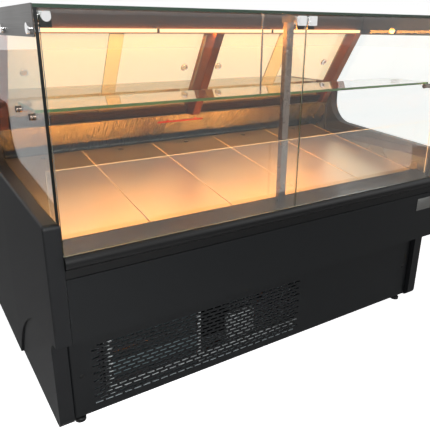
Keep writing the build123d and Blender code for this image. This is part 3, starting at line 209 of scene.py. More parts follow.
# extruded PVC bumper: smooth, a little glossier
bumperVinyl = satinPlastic("extrudedPvcBumper", "#080809", "#060607",
                           roughness=0.36, grain=0.004, depth=0.00005)
# coated steel sill seen through the glass: near black, glossy enough to pick up the lamp
sillCoat = satinPlastic("coatedSteelSill", "#090909", "#070707", roughness=0.24, grain=0.002, depth=0.0001)
# polyester-coated tub sheet: off-white, satin
tubCoat = satinPlastic("coatedSteelTub", "#b9bab8", "#aeb0ae", roughness=0.45, grain=0.002, depth=0.0001)
# moulded ABS controls: charcoal, satin
controlPlastic = satinPlastic("mouldedAbsControls", "#1b1b1d", "#151517",
                              roughness=0.38, grain=0.0012, depth=0.0001)
# polycarbonate rockers: black and glossy
rockerPlastic = satinPlastic("glossPolycarbonateRocker", "#131315", "#0f0f11",
                             roughness=0.18, grain=0.003, depth=0.00003)
# nylon feet: matt black
footPlastic = satinPlastic("nylonFoot", "#121213", "#0e0e0f", roughness=0.5, grain=0.0012, depth=0.0001)
# glass-filled nylon fans and keys: dark grey, dull
fanPlastic = satinPlastic("glassFilledNylonFan", "#26282a", "#1f2123",
                          roughness=0.5, grain=0.0012, depth=0.0001)
# moulded polystyrene tray: pale grey
trayPlastic = satinPlastic("mouldedPolystyreneTray", "#a9abab", "#9fa1a1",
                           roughness=0.4, grain=0.002, depth=0.0001)
# stoved black enamel of the compressor: deep and shiny, with a slight flow
compressorPaint = satinPlastic("stovedBlackEnamel", "#0e0f11", "#0b0c0d",
                               roughness=0.22, grain=0.006, depth=0.0001)
# painted fan motor shell: dark grey
motorPaint = satinPlastic("paintedMotorShell", "#2a2c2f", "#232527",
                          roughness=0.4, grain=0.003, depth=0.0001)
# passivated zinc of the base pan, made paler with painted light so that it shows through the grille
paleZinc = satinPlastic("passivatedZincSheet", "#c9d2d6", "#aeb9be",
                        roughness=0.4, grain=0.012, depth=0.0001)
# condenser fins with a pale epoxy coat, seen through the grille
coatedFins = satinPlastic("epoxyCoatedFins", "#7c898d", "#697579",
                          roughness=0.4, grain=0.002, depth=0.00005)
# casing sheet coloured near white, partly a pale coat and partly painted light: the bright lines behind the
# grille
paleCasingAndPaintedLight = satinPlastic("paleCasingSheetPaintedLight", "#f2f7f8", "#e2e8ea",
                           roughness=0.4, grain=0.002, depth=0.0001)
# dull zinc of the condenser's band: a mid grey stripe behind the grille
bandZinc = satinPlastic("dullZincBand", "#93a6ab", "#7f9297", roughness=0.4, grain=0.004, depth=0.0001)
# black nylon of the base panel's plugs: a shade darker than the panel
plugNylon = satinPlastic("blackNylonPlug", "#050505", "#030303", roughness=0.6, grain=0.002, depth=0.0001)
# red vinyl tape of the load line
redTape = satinPlastic("redVinylTape", "#e0241b", "#cf1f18", roughness=0.45, grain=0.002, depth=0.00005)
# edges of the deck sheets, coloured near white as a painted highlight, so that they show as pale lines where
# the lamp would catch them
paintedHighlightEdge = satinPlastic("paintedHighlightSheetEdge", "#fff3df", "#f7e6c8",
                             roughness=0.3, grain=0.002, depth=0.00002)

# AISI 304 sheet of the liner, brushed front to back: cool grey
brushedSteel = brushedMetal("brushedStainlessLiner", "#879196", "#6c767b",
                            roughness=0.26, lineAcross=(0.0012, 0.25, 0.25), spread=0.06)
# the deck sheets, coloured paler and warmer than bare steel as painted warm lamp light, with a soft sheen of
# the doors and posts
deckSteelPaintedWarmth = brushedMetal("brushedStainlessDeck", "#e0cca6", "#c8ad83",
                         roughness=0.34, lineAcross=(0.0012, 0.25, 0.25), spread=0.05)
# the worktop, brushed along the case
brushedWorktop = brushedMetal("brushedStainlessWorktop", "#c6c4c0", "#aeaca8",
                              roughness=0.28, lineAcross=(0.25, 0.0012, 0.25), spread=0.06)
# bronze anodised aluminium posts: brown, with lines up the profile
darkAnodised = brushedMetal("darkAnodisedAluminium", "#854f2e", "#5c3820",
                            roughness=0.42, lineAcross=(0.0015, 0.0015, 0.3), spread=0.05)
# the header and tracks lie close to the lamp, so their finish is the posts' bronze painted darker: painted
# shade against the lamp's light
trackAnodisedPaintedShade = brushedMetal("bronzeAnodisedTrackPaintedShade", "#35271f", "#241b16",
                             roughness=0.44, lineAcross=(0.3, 0.0015, 0.0015), spread=0.05)
# satin anodised bands at the top of the side glasses: mid grey
bandAnodised = brushedMetal("satinAnodisedBand", "#5c5a58", "#4a4846",
                            roughness=0.34, lineAcross=(0.3, 0.3, 0.0012), spread=0.05)
# hot-dip zinc on folded steel: pale grey, cloudy
zincSheet = brushedMetal("galvanisedSteel", "#b4b9bb", "#9aa0a3",
                         roughness=0.38, lineAcross=(0.03, 0.03, 0.03), spread=0.1)
# bare aluminium of the coils, lined up the fins
finStock = brushedMetal("bareAluminiumFins", "#c3c6c6", "#9da1a2",
                        roughness=0.36, lineAcross=(0.003, 0.003, 0.05), spread=0.06)
# satin aluminium of the blank badge plate
satinPlate = brushedMetal("satinBadgeAluminium", "#a9a9a6", "#8f8f8c",
                          roughness=0.3, lineAcross=(0.2, 0.2, 0.0008), spread=0.05)
# chrome-plated brass: bright
chrome = polishedMetal("chromePlatedBrass", "#e6e6e6", roughness=0.12)
# the pillar between the panes, plated dark like smoked chrome
smokedChrome = polishedMetal("smokedChromePillar", "#6e625a", roughness=0.26)
# refrigeration copper, dulled
copper = polishedMetal("dullCopperPipe", "#b5673f", roughness=0.32)

# The rear frame leans by this angle; doorOut looks from a door to the front and down, doorUp along its pane
doorLean = math.radians(30)
doorOut = Vector((0, -math.cos(doorLean), -math.sin(doorLean)))
doorUp = Vector((0, -math.sin(doorLean), math.cos(doorLean)))

# the front and side panes let less light through than clear glass, to match the photograph
frontGlassSkin = floatGlass("temperedGlassFront", (0, 1, 0), "#fefffe", "#2f5a49", lampThrough="#8f9891")
# the side panes' edges are painted near black: painted shade
sideGlassSkin = floatGlass("temperedGlassSide", (1, 0, 0), "#fdfffe", "#060d0b", lampThrough="#b7c0b9")
# the shelf's edge is painted bright green, a painted highlight of the lamp on it; the top's edge is a dull
# dark green
shelfGlassSkin = floatGlass("temperedGlassShelf", (0, 0, 1), "#fefffe", "#86cc70")
topGlassSkin = floatGlass("temperedGlassTop", (0, 0, 1), "#fefffe", "#33503f")
# the doors are tinted cream all over, with a faint cream film: the cream is painted warm lamp light
doorGlassSkin = floatGlass("temperedGlassDoor", doorOut, "#ffeec6", "#7a8f7c",
                           haze=0.09, hazeColour="#ffe9bf")
# the low riser's polished top edge is painted pale cream and given a faint painted glow: a painted highlight
# where it catches the lamp
riserGlassSkin = floatGlass("temperedGlassRiser", (0, 1, 0), "#fdfffd", "#fff0cf",
                            edgeClear=0.0, paintedEdgeGlow=0.7)

dress(mouldedSide, "side_panel_left", "side_panel_right")
dress(powderCoat, "upper_front_panel", "lower_front_panel", "rear_panel", "fan_shroud")
dress(bumperVinyl, "bumper_rail")
dress(sillCoat, "front_sill")
dress(tubCoat, "insulated_tub")
dress(controlPlastic, "thermostat", "switch_housings", "cable_gland")
dress(rockerPlastic, "light_switch", "main_switch")
dress(footPlastic, "levelling_feet")
dress(fanPlastic, "condenser_fan", "evaporator_fan_left", "evaporator_fan_right")
dress(trayPlastic, "drain_tray")
dress(compressorPaint, "compressor")
dress(brushedSteel, "inner_liner")
dress(deckSteelPaintedWarmth, *[f"deck_sheet_{number}" for number in range(1, 6)])
dress(brushedWorktop, "rear_worktop")
dress(darkAnodised, "rear_post_left", "rear_post_middle", "rear_post_right")
dress(trackAnodisedPaintedShade, "door_tracks", "header_beam")
dress(bandAnodised, "canopy_bracket_left", "canopy_bracket_right", "side_glass_clamps")
dress(paleZinc, "base_frame")
dress(zincSheet, "evaporator_fan_plate")
dress(finStock, "condenser_coil", "evaporator_coil")
dress(motorPaint, "condenser_fan_motor")
dress(chrome, "point_fixings", "front_hinge_pins", "front_hinge_leaves_left", "front_hinge_leaves_right",
      "centre_hinge_arm")
dress(smokedChrome, "centre_pillar", "shelf_hanger", "shelf_clamps")
dress(frontGlassSkin, "front_glass_left", "front_glass_right")
dress(riserGlassSkin, "inner_riser_glass")
dress(sideGlassSkin, "side_glass_left", "side_glass_right")
dress(topGlassSkin, "top_glass")
dress(shelfGlassSkin, "glass_shelf")
dress(doorGlassSkin, *[f"sliding_door_{number}" for number in range(1, 5)])
print("stage: finishes on the CAD pieces")


# Making pieces

def place(x, depth, height):
    # millimetres along the case, behind the front glass and above the floor, as a point in metres
    return Vector((x * mm, glassFront + depth * mm, height * mm))


def turnTo(direction):
    return direction.to_track_quat("Z", "Y").to_matrix().to_4x4()


def selectOnly(*pieces):
    bpy.ops.object.select_all(action="DESELECT")
    for piece in pieces:
        piece.select_set(True)
    bpy.context.view_layer.objects.active = pieces[-1]


def bevelAll(width, segments):
    bpy.ops.mesh.select_all(action="SELECT")
    bpy.ops.mesh.bevel(offset=width * mm, segments=segments, affect="EDGES")


def bar(left, right, front, rear, floor, top, bevel, segments=2):
    # a bar with rounded edges; on a piece made twice, left and right may be swapped
    near, far = place(left, front, floor), place(right, rear, top)
    bpy.ops.object.select_all(action="DESELECT")
    bpy.ops.mesh.primitive_cube_add(size=1)
    piece = bpy.context.object
    bpy.ops.object.mode_set(mode="EDIT")
    bpy.ops.transform.resize(value=far - near)
    bpy.ops.transform.translate(value=(near + far) / 2)
    bevelAll(bevel, segments)
    bpy.ops.mesh.select_all(action="SELECT")
    bpy.ops.mesh.normals_make_consistent(inside=False)
    bpy.ops.object.mode_set(mode="OBJECT")
    return piece


def rod(start, end, radius, sides=24, bevel=0.0, tip=None):
    # a round bar between two points in metres, narrower at its end where tip gives a radius
    line = end - start
    bpy.ops.object.select_all(action="DESELECT")
    bpy.ops.mesh.primitive_cone_add(vertices=sides, radius1=radius * mm, depth=line.length,
                                    radius2=(radius if tip is None else tip) * mm)
    piece = bpy.context.object
    bpy.ops.object.mode_set(mode="EDIT")
    if bevel:
        bevelAll(bevel, 2)
    bpy.ops.object.mode_set(mode="OBJECT")
    piece.data.transform(Matrix.Translation((start + end) / 2) @ turnTo(line))
    return piece


def ring(centre, turn, radius, wire, sides, wireSides):
    bpy.ops.object.select_all(action="DESELECT")
    bpy.ops.mesh.primitive_torus_add(major_radius=radius * mm, minor_radius=wire * mm, major_segments=sides,
                                     minor_segments=wireSides)
    piece = bpy.context.object
    piece.data.transform(Matrix.Translation(centre) @ turn)
    return piece


def joined(name, pieces):
    # one piece, shaded smooth but for edges sharper than the crease
    crease = 35
    selectOnly(*pieces)
    if len(pieces) > 1:
        bpy.ops.object.join()
    piece = bpy.context.object
    piece.name = name
    bpy.ops.object.shade_smooth_by_angle(angle=math.radians(crease))
    return piece


def settle(piece, material, body):
    # the piece's finish and the body it moves with
    piece.data.materials.clear()
    piece.data.materials.append(material)
    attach(piece, body)
    return piece


# Lamp: frosted tube with warm white light, held in dark sockets and clips under the header
lamp = {"seen": "#ffe2a8", "light": "#ffa443", "strength": 70.0, "seenStrength": 1.5, "watts": 9.5,
        "depth": 490.0, "height": 1163.0, "radius": 6.0, "halfLength": 751.0, "round": 1.0, "stripGap": 1.5}


def litTube():
    # frosted polycarbonate over LEDs: the eye sees pale cream, the light that falls is warmer
    material, tree = newMaterial("frostedLampTube")
    looked = eyeRay(tree)[1]
    power = ranged(tree, looked, lamp["strength"], lamp["seenStrength"])
    tint = twoTones(tree, lamp["light"], lamp["seen"], looked)
    shader = addNode(tree, "ShaderNodeEmission", None, {"Color": tint, "Strength": power})
    closeMaterial(tree, shader)
    return material


tubeEnds = [place(side * lamp["halfLength"], lamp["depth"], lamp["height"]) for side in (-1, 1)]
tube = joined("lampTube", [rod(*tubeEnds, lamp["radius"], bevel=lamp["round"])])
settle(tube, litTube(), "case")

# a block and a collar at each end, and clips of a bridge and two springs
socket = {"inner": 751, "outer": 775, "front": 482, "rear": 502, "floor": 1155, "top": 1171, "round": 2.0}
collar = {"inner": 744, "outer": 752, "radius": 7.5, "round": 1.0}
clip = {"x": 250, "half": 5,
        "bridge": {"front": 489, "rear": 502, "floor": 1169.5, "top": 1172, "bevel": 0.6},
        "frontSpring": {"front": 482.4, "rear": 483.6, "floor": 1157, "top": 1169, "bevel": 0.5},
        "rearSpring": {"front": 496.4, "rear": 497.6, "floor": 1157, "top": 1170, "bevel": 0.5}}
holders = []
for side in (-1, 1):
    holders.append(bar(side * socket["inner"], side * socket["outer"], socket["front"], socket["rear"],
                       socket["floor"], socket["top"], socket["round"]))
    collarEnds = [place(side * collar[end], lamp["depth"], lamp["height"]) for end in ("inner", "outer")]
    holders.append(rod(*collarEnds, collar["radius"], bevel=collar["round"]))
    middle = side * clip["x"]
    for part in ("bridge", "frontSpring", "rearSpring"):
        holders.append(bar(middle - clip["half"], middle + clip["half"], **clip[part]))
holder = joined("lampHolders", holders)
settle(holder, controlPlastic, "case")
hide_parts("lamp_tube")
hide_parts("lamp_tube")

# the tube's downward light, as a strip just below it that the eye doesn't see
strip = bpy.data.lights.new("lampStrip", "AREA")
strip.shape = "RECTANGLE"
strip.size = 2 * lamp["halfLength"] * mm
strip.size_y = 2 * lamp["radius"] * mm
strip.energy = lamp["watts"]
strip.color = toLinear(lamp["light"])[:3]
stripHolder = bpy.data.objects.new("lampStrip", strip)
bpy.context.scene.collection.objects.link(stripHolder)
stripHolder.location = place(0, lamp["depth"], lamp["height"] - lamp["radius"] - lamp["stripGap"])
stripHolder.visible_camera = False
stripHolder.visible_transmission = False
print("stage: lamp")


# Condenser: pale casing with folded flanges, thin fins, copper tubes and a ribbed band across its face
condenser = {"left": -640.0, "right": -300.0, "front": 112.0, "rear": 156.0, "floor": 34.0, "top": 324.0}
casing = {"sheet": 1.5, "flange": 14.0, "round": 0.4}
fin = {"count": 96, "thickness": 0.35, "frontGap": 3, "gap": 2, "round": 0.05}
coilTube = {"rows": 8, "depths": (13, 31), "radius": 4.8, "sides": 10, "endGap": 2}
band = {"floor": 121, "top": 175, "sheet": 1.5, "round": 0.5}
bandRib = {"heights": (127, 148, 169), "half": 1.5, "endGap": 20, "stands": 2.6, "sinks": 1}


def condenserPieces():
    left, right, front, rear, floor, top = condenser.values()
    sheet, flange = casing["sheet"], casing["flange"]
    face = front + sheet
    sheets = [
        # left, right, front, rear, floor and top of the flanges at both sides, the side sheets, the top and
        # floor sheets, and the flanges along them
        (left, left + flange, front, face, floor, top),
        (right - flange, right, front, face, floor, top),
        (left, left + sheet, front, rear, floor, top),
        (right - sheet, right, front, rear, floor, top),
        (left, right, front, rear, top - sheet, top),
        (left, right, front, rear, floor, floor + sheet),
        (left, right, front, face, top - flange, top),
        (left, right, front, face, floor, floor + flange),
    ]
    walls = [bar(*limits, casing["round"], 1) for limits in sheets]
    casingPiece = settle(joined("condenserCasing", walls), paleCasingAndPaintedLight, "case")

    first = bar(left + flange, left + flange + fin["thickness"], front + fin["frontGap"], rear - fin["gap"],
                floor + fin["gap"], top - fin["gap"], fin["round"], 1)
    spread = first.modifiers.new("finRow", "ARRAY")
    spread.count = fin["count"]
    spread.use_relative_offset = False
    spread.use_constant_offset = True
    pitch = (right - left - 2 * flange) / fin["count"]
    spread.constant_offset_displace = (pitch * mm, 0, 0)
    selectOnly(first)
    bpy.ops.object.modifier_apply(modifier="finRow")
    finPiece = settle(joined("condenserFins", [first]), coatedFins, "case")

    tubes = []
    rise = (top - floor) / coilTube["rows"]
    for row in range(coilTube["rows"]):
        height = floor + (row + 0.5) * rise
        for depth in coilTube["depths"]:
            tubes.append(rod(place(left + coilTube["endGap"], front + depth, height),
                             place(right - coilTube["endGap"], front + depth, height),
                             coilTube["radius"], coilTube["sides"]))
    tubePiece = settle(joined("condenserTubes", tubes), copper, "case")

    strips = [bar(left + flange, right - flange, front - band["sheet"], front, band["floor"], band["top"],
                  band["round"])]
    for height in bandRib["heights"]:
        strips.append(bar(left + bandRib["endGap"], right - bandRib["endGap"], front - bandRib["stands"],
                          front - bandRib["sinks"], height - bandRib["half"], height + bandRib["half"],
                          band["round"]))
    bandPiece = settle(joined("condenserBand", strips), bandZinc, "case")
    for piece in (casingPiece, finPiece, tubePiece, bandPiece):
        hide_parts("condenser_coil")


condenserPieces()

# Folded front lip of the base pan, seen through the grille: face, fold on top and a bead along the face
basePanLip = {
    "face": {"left": -648, "right": 735, "front": 109.5, "rear": 111, "floor": 62, "top": 84, "bevel": 0.5},
    "fold": {"left": -648, "right": 735, "front": 109.5, "rear": 124, "floor": 82, "top": 83.5, "bevel": 0.5},
    "bead": {"left": -648, "right": 735, "front": 108.6, "rear": 109.8, "floor": 70, "top": 72, "bevel": 0.4},
}
lipBars = [bar(**part) for part in basePanLip.values()]
# in the near-white casing finish, which is partly painted light
settle(joined("basePanLip", lipBars), paleCasingAndPaintedLight, "case")

# Pale cover of the compressor's relay box, with two raised panels and two legs
relayCover = {
    "box": {"left": -177, "right": -58, "front": 126, "rear": 150, "floor": 93, "top": 187, "bevel": 4.0,
            "segments": 3},
    "tallPanel": {"left": -166, "right": -104, "front": 124.6, "rear": 126.6, "floor": 104, "top": 176,
                  "bevel": 0.9},
    "lowPanel": {"left": -96, "right": -68, "front": 124.2, "rear": 126.6, "floor": 112, "top": 140,
                 "bevel": 1.0},
    "leftLeg": {"left": -150, "right": -140, "front": 140, "rear": 150, "floor": 60, "top": 95, "bevel": 0.8},
    "rightLeg": {"left": -90, "right": -80, "front": 140, "rear": 150, "floor": 60, "top": 95, "bevel": 0.8},
}
coverBars = [bar(**part) for part in relayCover.values()]
# in the near-white casing finish, which is partly painted light
settle(joined("relayBoxCover", coverBars), paleCasingAndPaintedLight, "case")
print("stage: condenser")

# Blank badge plate on the upper front panel: a raised field on a plate with rounded edges
badge = {"left": 657.0, "right": 742.0, "front": 2.4, "rear": 4.0, "floor": 478.0, "top": 528.0, "bevel": 0.7}
badgeField = {"inset": 4, "stands": 0.6, "sinks": 0.2, "bevel": 0.5}
plate = bar(**badge, segments=3)
field = bar(badge["left"] + badgeField["inset"], badge["right"] - badgeField["inset"],
            badge["front"] - badgeField["stands"], badge["front"] + badgeField["sinks"],
            badge["floor"] + badgeField["inset"], badge["top"] - badgeField["inset"], badgeField["bevel"])
settle(joined("blankBadgePlate", [plate, field]), satinPlate, "case")

# Screws with a domed head and a cross-shaped drive: sunk and driveSunk are millimetres, dome is a share of
# the head's height, and tip, driveHalf and driveRadius are shares of its radius
screw = {"sunk": 0.3, "dome": 0.45, "tip": 0.7, "sides": 16,
         "driveSunk": 0.15, "driveHalf": 0.5, "driveRadius": 0.13, "driveSides": 6}


def screwHead(at, outward, radius, height):
    head = rod(at - outward * screw["sunk"] * mm, at + outward * height * mm, radius, screw["sides"],
               height * screw["dome"], radius * screw["tip"])
    across = outward.orthogonal().normalized()
    middle = at + outward * (height - screw["driveSunk"]) * mm
    drives = []
    for line in (across, outward.cross(across)):
        reach = line * radius * screw["driveHalf"] * mm
        drives.append(rod(middle - reach, middle + reach, radius * screw["driveRadius"], screw["driveSides"]))
    return [head] + drives


def screwPiece(name, points, outward, kind, material):
    heads = []
    for point in points:
        heads += screwHead(point, outward, kind["radius"], kind["stands"])
    settle(joined(name, heads), material, "case")


# The liner's sloping rear wall follows a line that runs forwards as it rises; its face stands before it
rearWall = {"footDepth": 806, "footHeight": 714, "run": 99, "rise": 115, "face": 2.0}
wallOutward = Vector((0, -rearWall["rise"], -rearWall["run"])).normalized()


def wallPoint(x, height):
    # on the visible face of the rear wall
    depth = rearWall["footDepth"] - (height - rearWall["footHeight"]) * rearWall["run"] / rearWall["rise"]
    return place(x, depth, height) + wallOutward * rearWall["face"] * mm


# the base panel's black plugs, the screws of the liner's rear wall and those of the rear panel
basePlugs = {"x": (-735, 735), "depth": 85.2, "height": 176, "radius": 9.0, "stands": 2.4}
linerScrews = {"x": (-560, -180, 180, 560), "height": 800, "endX": (730, -730), "endHeights": (735, 800),
               "radius": 3.2, "stands": 1.6}
rearScrews = {"x": (-755, 0, 755), "depth": 1082, "heights": (60, 470, 880), "radius": 4.0, "stands": 2.2}

plugPoints = [place(x, basePlugs["depth"], basePlugs["height"]) for x in basePlugs["x"]]
screwPiece("basePanelScrews", plugPoints, Vector((0, -1, 0)), basePlugs, plugNylon)
linerPoints = [wallPoint(x, linerScrews["height"]) for x in linerScrews["x"]]
linerPoints += [wallPoint(x, height) for x in linerScrews["endX"] for height in linerScrews["endHeights"]]
screwPiece("linerScrews", linerPoints, wallOutward, linerScrews, chrome)
rearPoints = [place(x, rearScrews["depth"], height)
              for x in rearScrews["x"] for height in rearScrews["heights"]]
screwPiece("rearPanelScrews", rearPoints, Vector((0, 1, 0)), rearScrews, chrome)

# Load line on the liner's rear wall: a red tape strip with two arrowheads
loadLine = {"left": -144.0, "right": 74.0, "height": 800.0, "half": 5.0, "arrow": 8.0, "arrowX": (-100, 34),
            "overlap": 0.5, "thickness": 0.4, "clear": 0.1}


def loadLinePiece():
    tape = loadLine
    up = (wallPoint(0, 777) - wallPoint(0, 776)).normalized()
    outward = Vector((1, 0, 0)).cross(up).normalized()
    shapes = [[(tape["left"], -tape["half"]), (tape["right"], -tape["half"]), (tape["right"], tape["half"]),
               (tape["left"], tape["half"])]]
    for x in tape["arrowX"]:
        shapes.append([(x, tape["half"] - tape["overlap"]), (x - tape["arrow"], tape["half"] + tape["arrow"]),
                       (x + tape["arrow"], tape["half"] + tape["arrow"])])
    base = wallPoint(0, tape["height"])
    parts = []
    for shape in shapes:
        bpy.ops.object.select_all(action="DESELECT")
        bpy.ops.mesh.primitive_circle_add(vertices=len(shape), radius=1, fill_type="NGON")
        part = bpy.context.object
        for vertex, (x, rise) in zip(part.data.vertices, shape):
            vertex.co = base + Vector((x * mm, 0, 0)) + up * rise * mm + outward * tape["clear"] * mm
        bpy.ops.object.mode_set(mode="EDIT")
        bpy.ops.mesh.select_all(action="SELECT")
        bpy.ops.mesh.extrude_region_move(TRANSFORM_OT_translate={"value": outward * tape["thickness"] * mm})
        bpy.ops.mesh.select_all(action="SELECT")
        bpy.ops.mesh.normals_make_consistent(inside=False)
        bpy.ops.object.mode_set(mode="OBJECT")
        parts.append(part)
    return joined("loadLineTape", parts)


settle(loadLinePiece(), redTape, "case")

# Folded edges of the deck sheets: a small bead along each side, coloured near white as a painted highlight,
# which shows as a pale line
deck = {"sheets": 5, "pitch": 308.0, "gap": 1.6, "front": 152.5, "rear": 780.0, "foot": 150.5, "floor": 605.0,
        "slope": 9.1}
bead = {"radius": 1.1, "sides": 10, "round": 0.3, "sunk": -0.3}


def beadPoint(x, depth):
    # a little below the top of the sloping deck
    rise = (depth - deck["foot"]) * math.tan(math.radians(deck["slope"]))
    return place(x, depth, deck["floor"] + rise + bead["sunk"])


for number in range(1, deck["sheets"] + 1):
    middle = (number - 3) * deck["pitch"]
    beads = []
    for side in (-1, 1):
        x = middle + side * (deck["pitch"] / 2 - deck["gap"] / 2 - bead["radius"])
        beads.append(rod(beadPoint(x, deck["front"]), beadPoint(x, deck["rear"]),
                         bead["radius"], bead["sides"], bead["round"]))
    settle(joined(f"deckSheetBeads{number}", beads), paintedHighlightEdge, f"deck_sheet_{number}")

# Door pulls: chromed cups on both faces of each sliding door, with a rim, a floor and an upright grip bar
doorPulls = {1: {"x": -676.0, "lane": 46.0}, 2: {"x": -79.0, "lane": 30.0},
             3: {"x": 79.0, "lane": 30.0}, 4: {"x": 676.0, "lane": 46.0}}
doorGlass = {"thickness": 6.0, "postDepth": 680, "postHeight": 842}
cup = {"height": 1027, "rimRadius": 11.6, "rimWire": 1.7, "rimLift": 1.2, "rimSides": 40, "wireSides": 10,
       "floorRadius": 10.6, "floorFrom": 0.1, "floorTo": 0.7, "floorSides": 32, "floorRound": 0.2,
       "gripRadius": 1.4, "gripHalf": 5, "gripLift": 0.9, "gripSides": 10, "gripRound": 0.3}


def lanePoint(x, behind, height):
    # a point at a height in the plane that lies this far behind the posts' leaning front face
    depth = doorGlass["postDepth"] - (height - doorGlass["postHeight"]) * math.tan(doorLean)
    return place(x, depth + behind / math.cos(doorLean), height)


for number, pull in doorPulls.items():
    cups = []
    for behind, outward in ((pull["lane"], doorOut), (pull["lane"] + doorGlass["thickness"], -doorOut)):
        face = lanePoint(pull["x"], behind, cup["height"])
        grip = face + outward * cup["gripLift"] * mm
        reach = doorUp * cup["gripHalf"] * mm
        cups.append(ring(face + outward * cup["rimLift"] * mm, turnTo(outward),
                         cup["rimRadius"], cup["rimWire"], cup["rimSides"], cup["wireSides"]))
        cups.append(rod(face + outward * cup["floorFrom"] * mm, face + outward * cup["floorTo"] * mm,
                        cup["floorRadius"], cup["floorSides"], cup["floorRound"]))
        cups.append(rod(grip - reach, grip + reach, cup["gripRadius"], cup["gripSides"], cup["gripRound"]))
    settle(joined(f"doorPullCups{number}", cups), chrome, f"sliding_door_{number}")

# Controls on the service side: display window and four keys on the thermostat
display = {"left": 545, "right": 575, "front": 1084.2, "rear": 1084.9, "floor": 813, "top": 827, "bevel": 0.4}
keys = {"x": (530, 590), "floors": (807, 829), "half": 3.2, "tall": 4, "front": 1084.6, "rear": 1086.1,
        "bevel": 0.6}
settle(joined("thermostatWindow", [bar(**display)]), rockerPlastic, "case")
keyBars = [bar(x - keys["half"], x + keys["half"], keys["front"], keys["rear"], floor, floor + keys["tall"],
               keys["bevel"]) for floor in keys["floors"] for x in keys["x"]]
settle(joined("thermostatKeys", keyBars), fanPlastic, "case")
print("stage: screws, plates, pulls and controls")

# Guard rings of the condenser fan
guard = {"x": -470, "depth": 159, "height": 179, "radii": (20, 45, 70, 95, 115), "wire": 1.2, "sides": 48,
         "wireSides": 6}
guardTurn = Matrix.Rotation(math.pi / 2, 4, "X")
guardPlace = place(guard["x"], guard["depth"], guard["height"])
wires = [ring(guardPlace, guardTurn, radius, guard["wire"], guard["sides"], guard["wireSides"])
         for radius in guard["radii"]]
settle(joined("fanGuardRings", wires), zincSheet, "case")

# Copper pipes of the machine bay, through points given as (x, depth, height)
pipes = {
    "dischargePipe": {"radius": 3.2, "points": [
        (-150, 330, 222), (-150, 330, 262), (-200, 300, 280), (-280, 215, 290), (-296, 150, 300),
        (-301, 140, 300)]},
    "suctionPipe": {"radius": 4.8, "points": [
        (-112, 372, 205), (-112, 372, 250), (-60, 420, 262), (60, 470, 268), (200, 500, 300), (240, 520, 380),
        (240, 520, 419)]},
    "liquidPipe": {"radius": 3.2, "points": [
        (-301, 130, 70), (-270, 130, 70), (-220, 170, 62), (-60, 200, 60), (120, 330, 62), (250, 430, 100),
        (270, 500, 300), (270, 520, 419)]},
}


def bentPipe(name, points, radius):
    # a pipe with rounded bends
    path = bpy.data.curves.new(name, "CURVE")
    path.dimensions = "3D"
    path.bevel_depth = radius * mm
    path.bevel_resolution = 3
    spline = path.splines.new("NURBS")
    spline.points.add(len(points) - 1)
    for knot, point in zip(spline.points, points):
        knot.co = (*place(*point), 1)
    spline.order_u = 3
    spline.use_endpoint_u = True
    path.use_fill_caps = True
    curve = bpy.data.objects.new(name, path)
    bpy.context.scene.collection.objects.link(curve)
    selectOnly(curve)
    bpy.ops.object.convert(target="MESH")
    settle(joined(name, [bpy.context.object]), copper, "case")


for name, pipe in pipes.items():
    bentPipe(name, pipe["points"], pipe["radius"])
drier = {"start": (-60, 200, 60), "end": (40, 262, 61), "radius": 11, "sides": 20, "round": 3.0}
drierRod = rod(place(*drier["start"]), place(*drier["end"]), drier["radius"], drier["sides"], drier["round"])
settle(joined("filterDrier", [drierRod]), copper, "case")
print("stage: machine bay")

# Floor and sky
stageSettings = {"floorColour": "#f4f4f4", "floorHalf": 30.0, "floorRoughness": 0.8, "skyLight": 0.1,
                 "floorGlow": 0.9}


def paleStage():
    bpy.ops.object.select_all(action="DESELECT")
    bpy.ops.mesh.primitive_plane_add(size=2 * stageSettings["floorHalf"])
    floor = bpy.context.object
    floor.name = "studioFloor"
    material, tree = newMaterial("paleStudioFloor")
    # a glow that only the eye sees, also through glass: the ground looks white and still shows the shadow
    glow = ranged(tree, eyeRay(tree)[1], 0.0, stageSettings["floorGlow"])
    matt = addNode(tree, "ShaderNodeBsdfPrincipled",
                   {"Base Color": toLinear(stageSettings["floorColour"]),
                    "Roughness": stageSettings["floorRoughness"], "Emission Color": (1.0, 1.0, 1.0, 1.0)},
                   {"Emission Strength": glow})
    closeMaterial(tree, matt)
    floor.data.materials.append(material)

    # the sky is white to the eye and in reflections, and lights the case only faintly
    world = bpy.data.worlds.new("studioSky")
    bpy.context.scene.world = world
    world.use_nodes = True
    tree = world.node_tree
    tree.nodes.clear()
    ray, looked = eyeRay(tree)
    power = ranged(tree, larger(tree, looked, ray.outputs["Is Glossy Ray"]), stageSettings["skyLight"], 1.0)
    sky = addNode(tree, "ShaderNodeBackground", {"Color": (1, 1, 1, 1)}, {"Strength": power})
    addNode(tree, "ShaderNodeOutputWorld", links={"Surface": sky.outputs[0]})


paleStage()

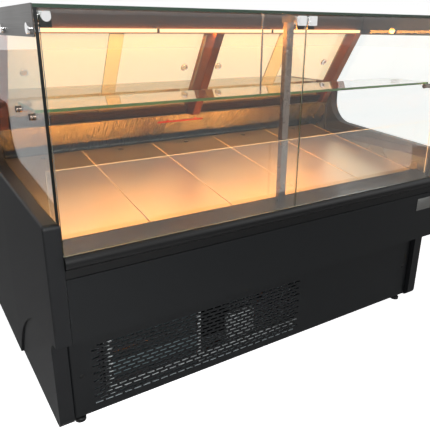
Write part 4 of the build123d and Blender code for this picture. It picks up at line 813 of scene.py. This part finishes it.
# Soft boxes in metres: from the front right, from the rear left, and a small one beside the camera
softLights = {
    "keySoftbox": {"spot": (2.6, -3.2, 2.8), "target": (0, 0, 0.5), "width": 2.2, "watts": 18.0},
    "fillSoftbox": {"spot": (-3.4, 1.4, 2.6), "target": (0, 0, 0.6), "width": 2.0, "watts": 8.0},
    "frontSoftbox": {"spot": (-1.1, -1.85, 1.22), "target": (-0.4, -0.45, 0.2), "width": 0.25, "watts": 20.0},
}
for name, light in softLights.items():
    data = bpy.data.lights.new(name, "AREA")
    data.size = light["width"]
    data.energy = light["watts"]
    box = bpy.data.objects.new(name, data)
    bpy.context.scene.collection.objects.link(box)
    aim = (Vector(light["target"]) - Vector(light["spot"])).to_track_quat("-Z", "Y")
    box.matrix_world = Matrix.Translation(light["spot"]) @ aim.to_matrix().to_4x4()

# Camera at the photograph's place: metres, degrees, and the lens and sensor in millimetres
cameraSettings = {"place": (-1.0796, -1.7476, 1.169), "yaw": 32.272, "pitch": 20.097, "roll": 0.399,
                  "lens": 42.53, "sensor": 36, "clipStart": 0.02, "clipEnd": 200}


def placeCamera():
    yaw, pitch, roll = (math.radians(cameraSettings[key]) for key in ("yaw", "pitch", "roll"))
    ahead = Vector((math.sin(yaw) * math.cos(pitch), math.cos(yaw) * math.cos(pitch), -math.sin(pitch)))
    right = Vector((math.cos(yaw), -math.sin(yaw), 0))
    up = right.cross(ahead)
    tiltedRight = right * math.cos(roll) + up * math.sin(roll)
    tiltedUp = up * math.cos(roll) - right * math.sin(roll)
    data = bpy.data.cameras.new("photoCamera")
    data.lens = cameraSettings["lens"]
    data.sensor_width = cameraSettings["sensor"]
    data.clip_start = cameraSettings["clipStart"]
    data.clip_end = cameraSettings["clipEnd"]
    camera = bpy.data.objects.new("photoCamera", data)
    bpy.context.scene.collection.objects.link(camera)
    turn = Matrix((tiltedRight, tiltedUp, -ahead)).transposed()
    camera.matrix_world = Matrix.Translation(cameraSettings["place"]) @ turn.to_4x4()
    bpy.context.scene.camera = camera


placeCamera()
bpy.context.scene.view_settings.view_transform = "Standard"
print("stage: floor, light and camera")
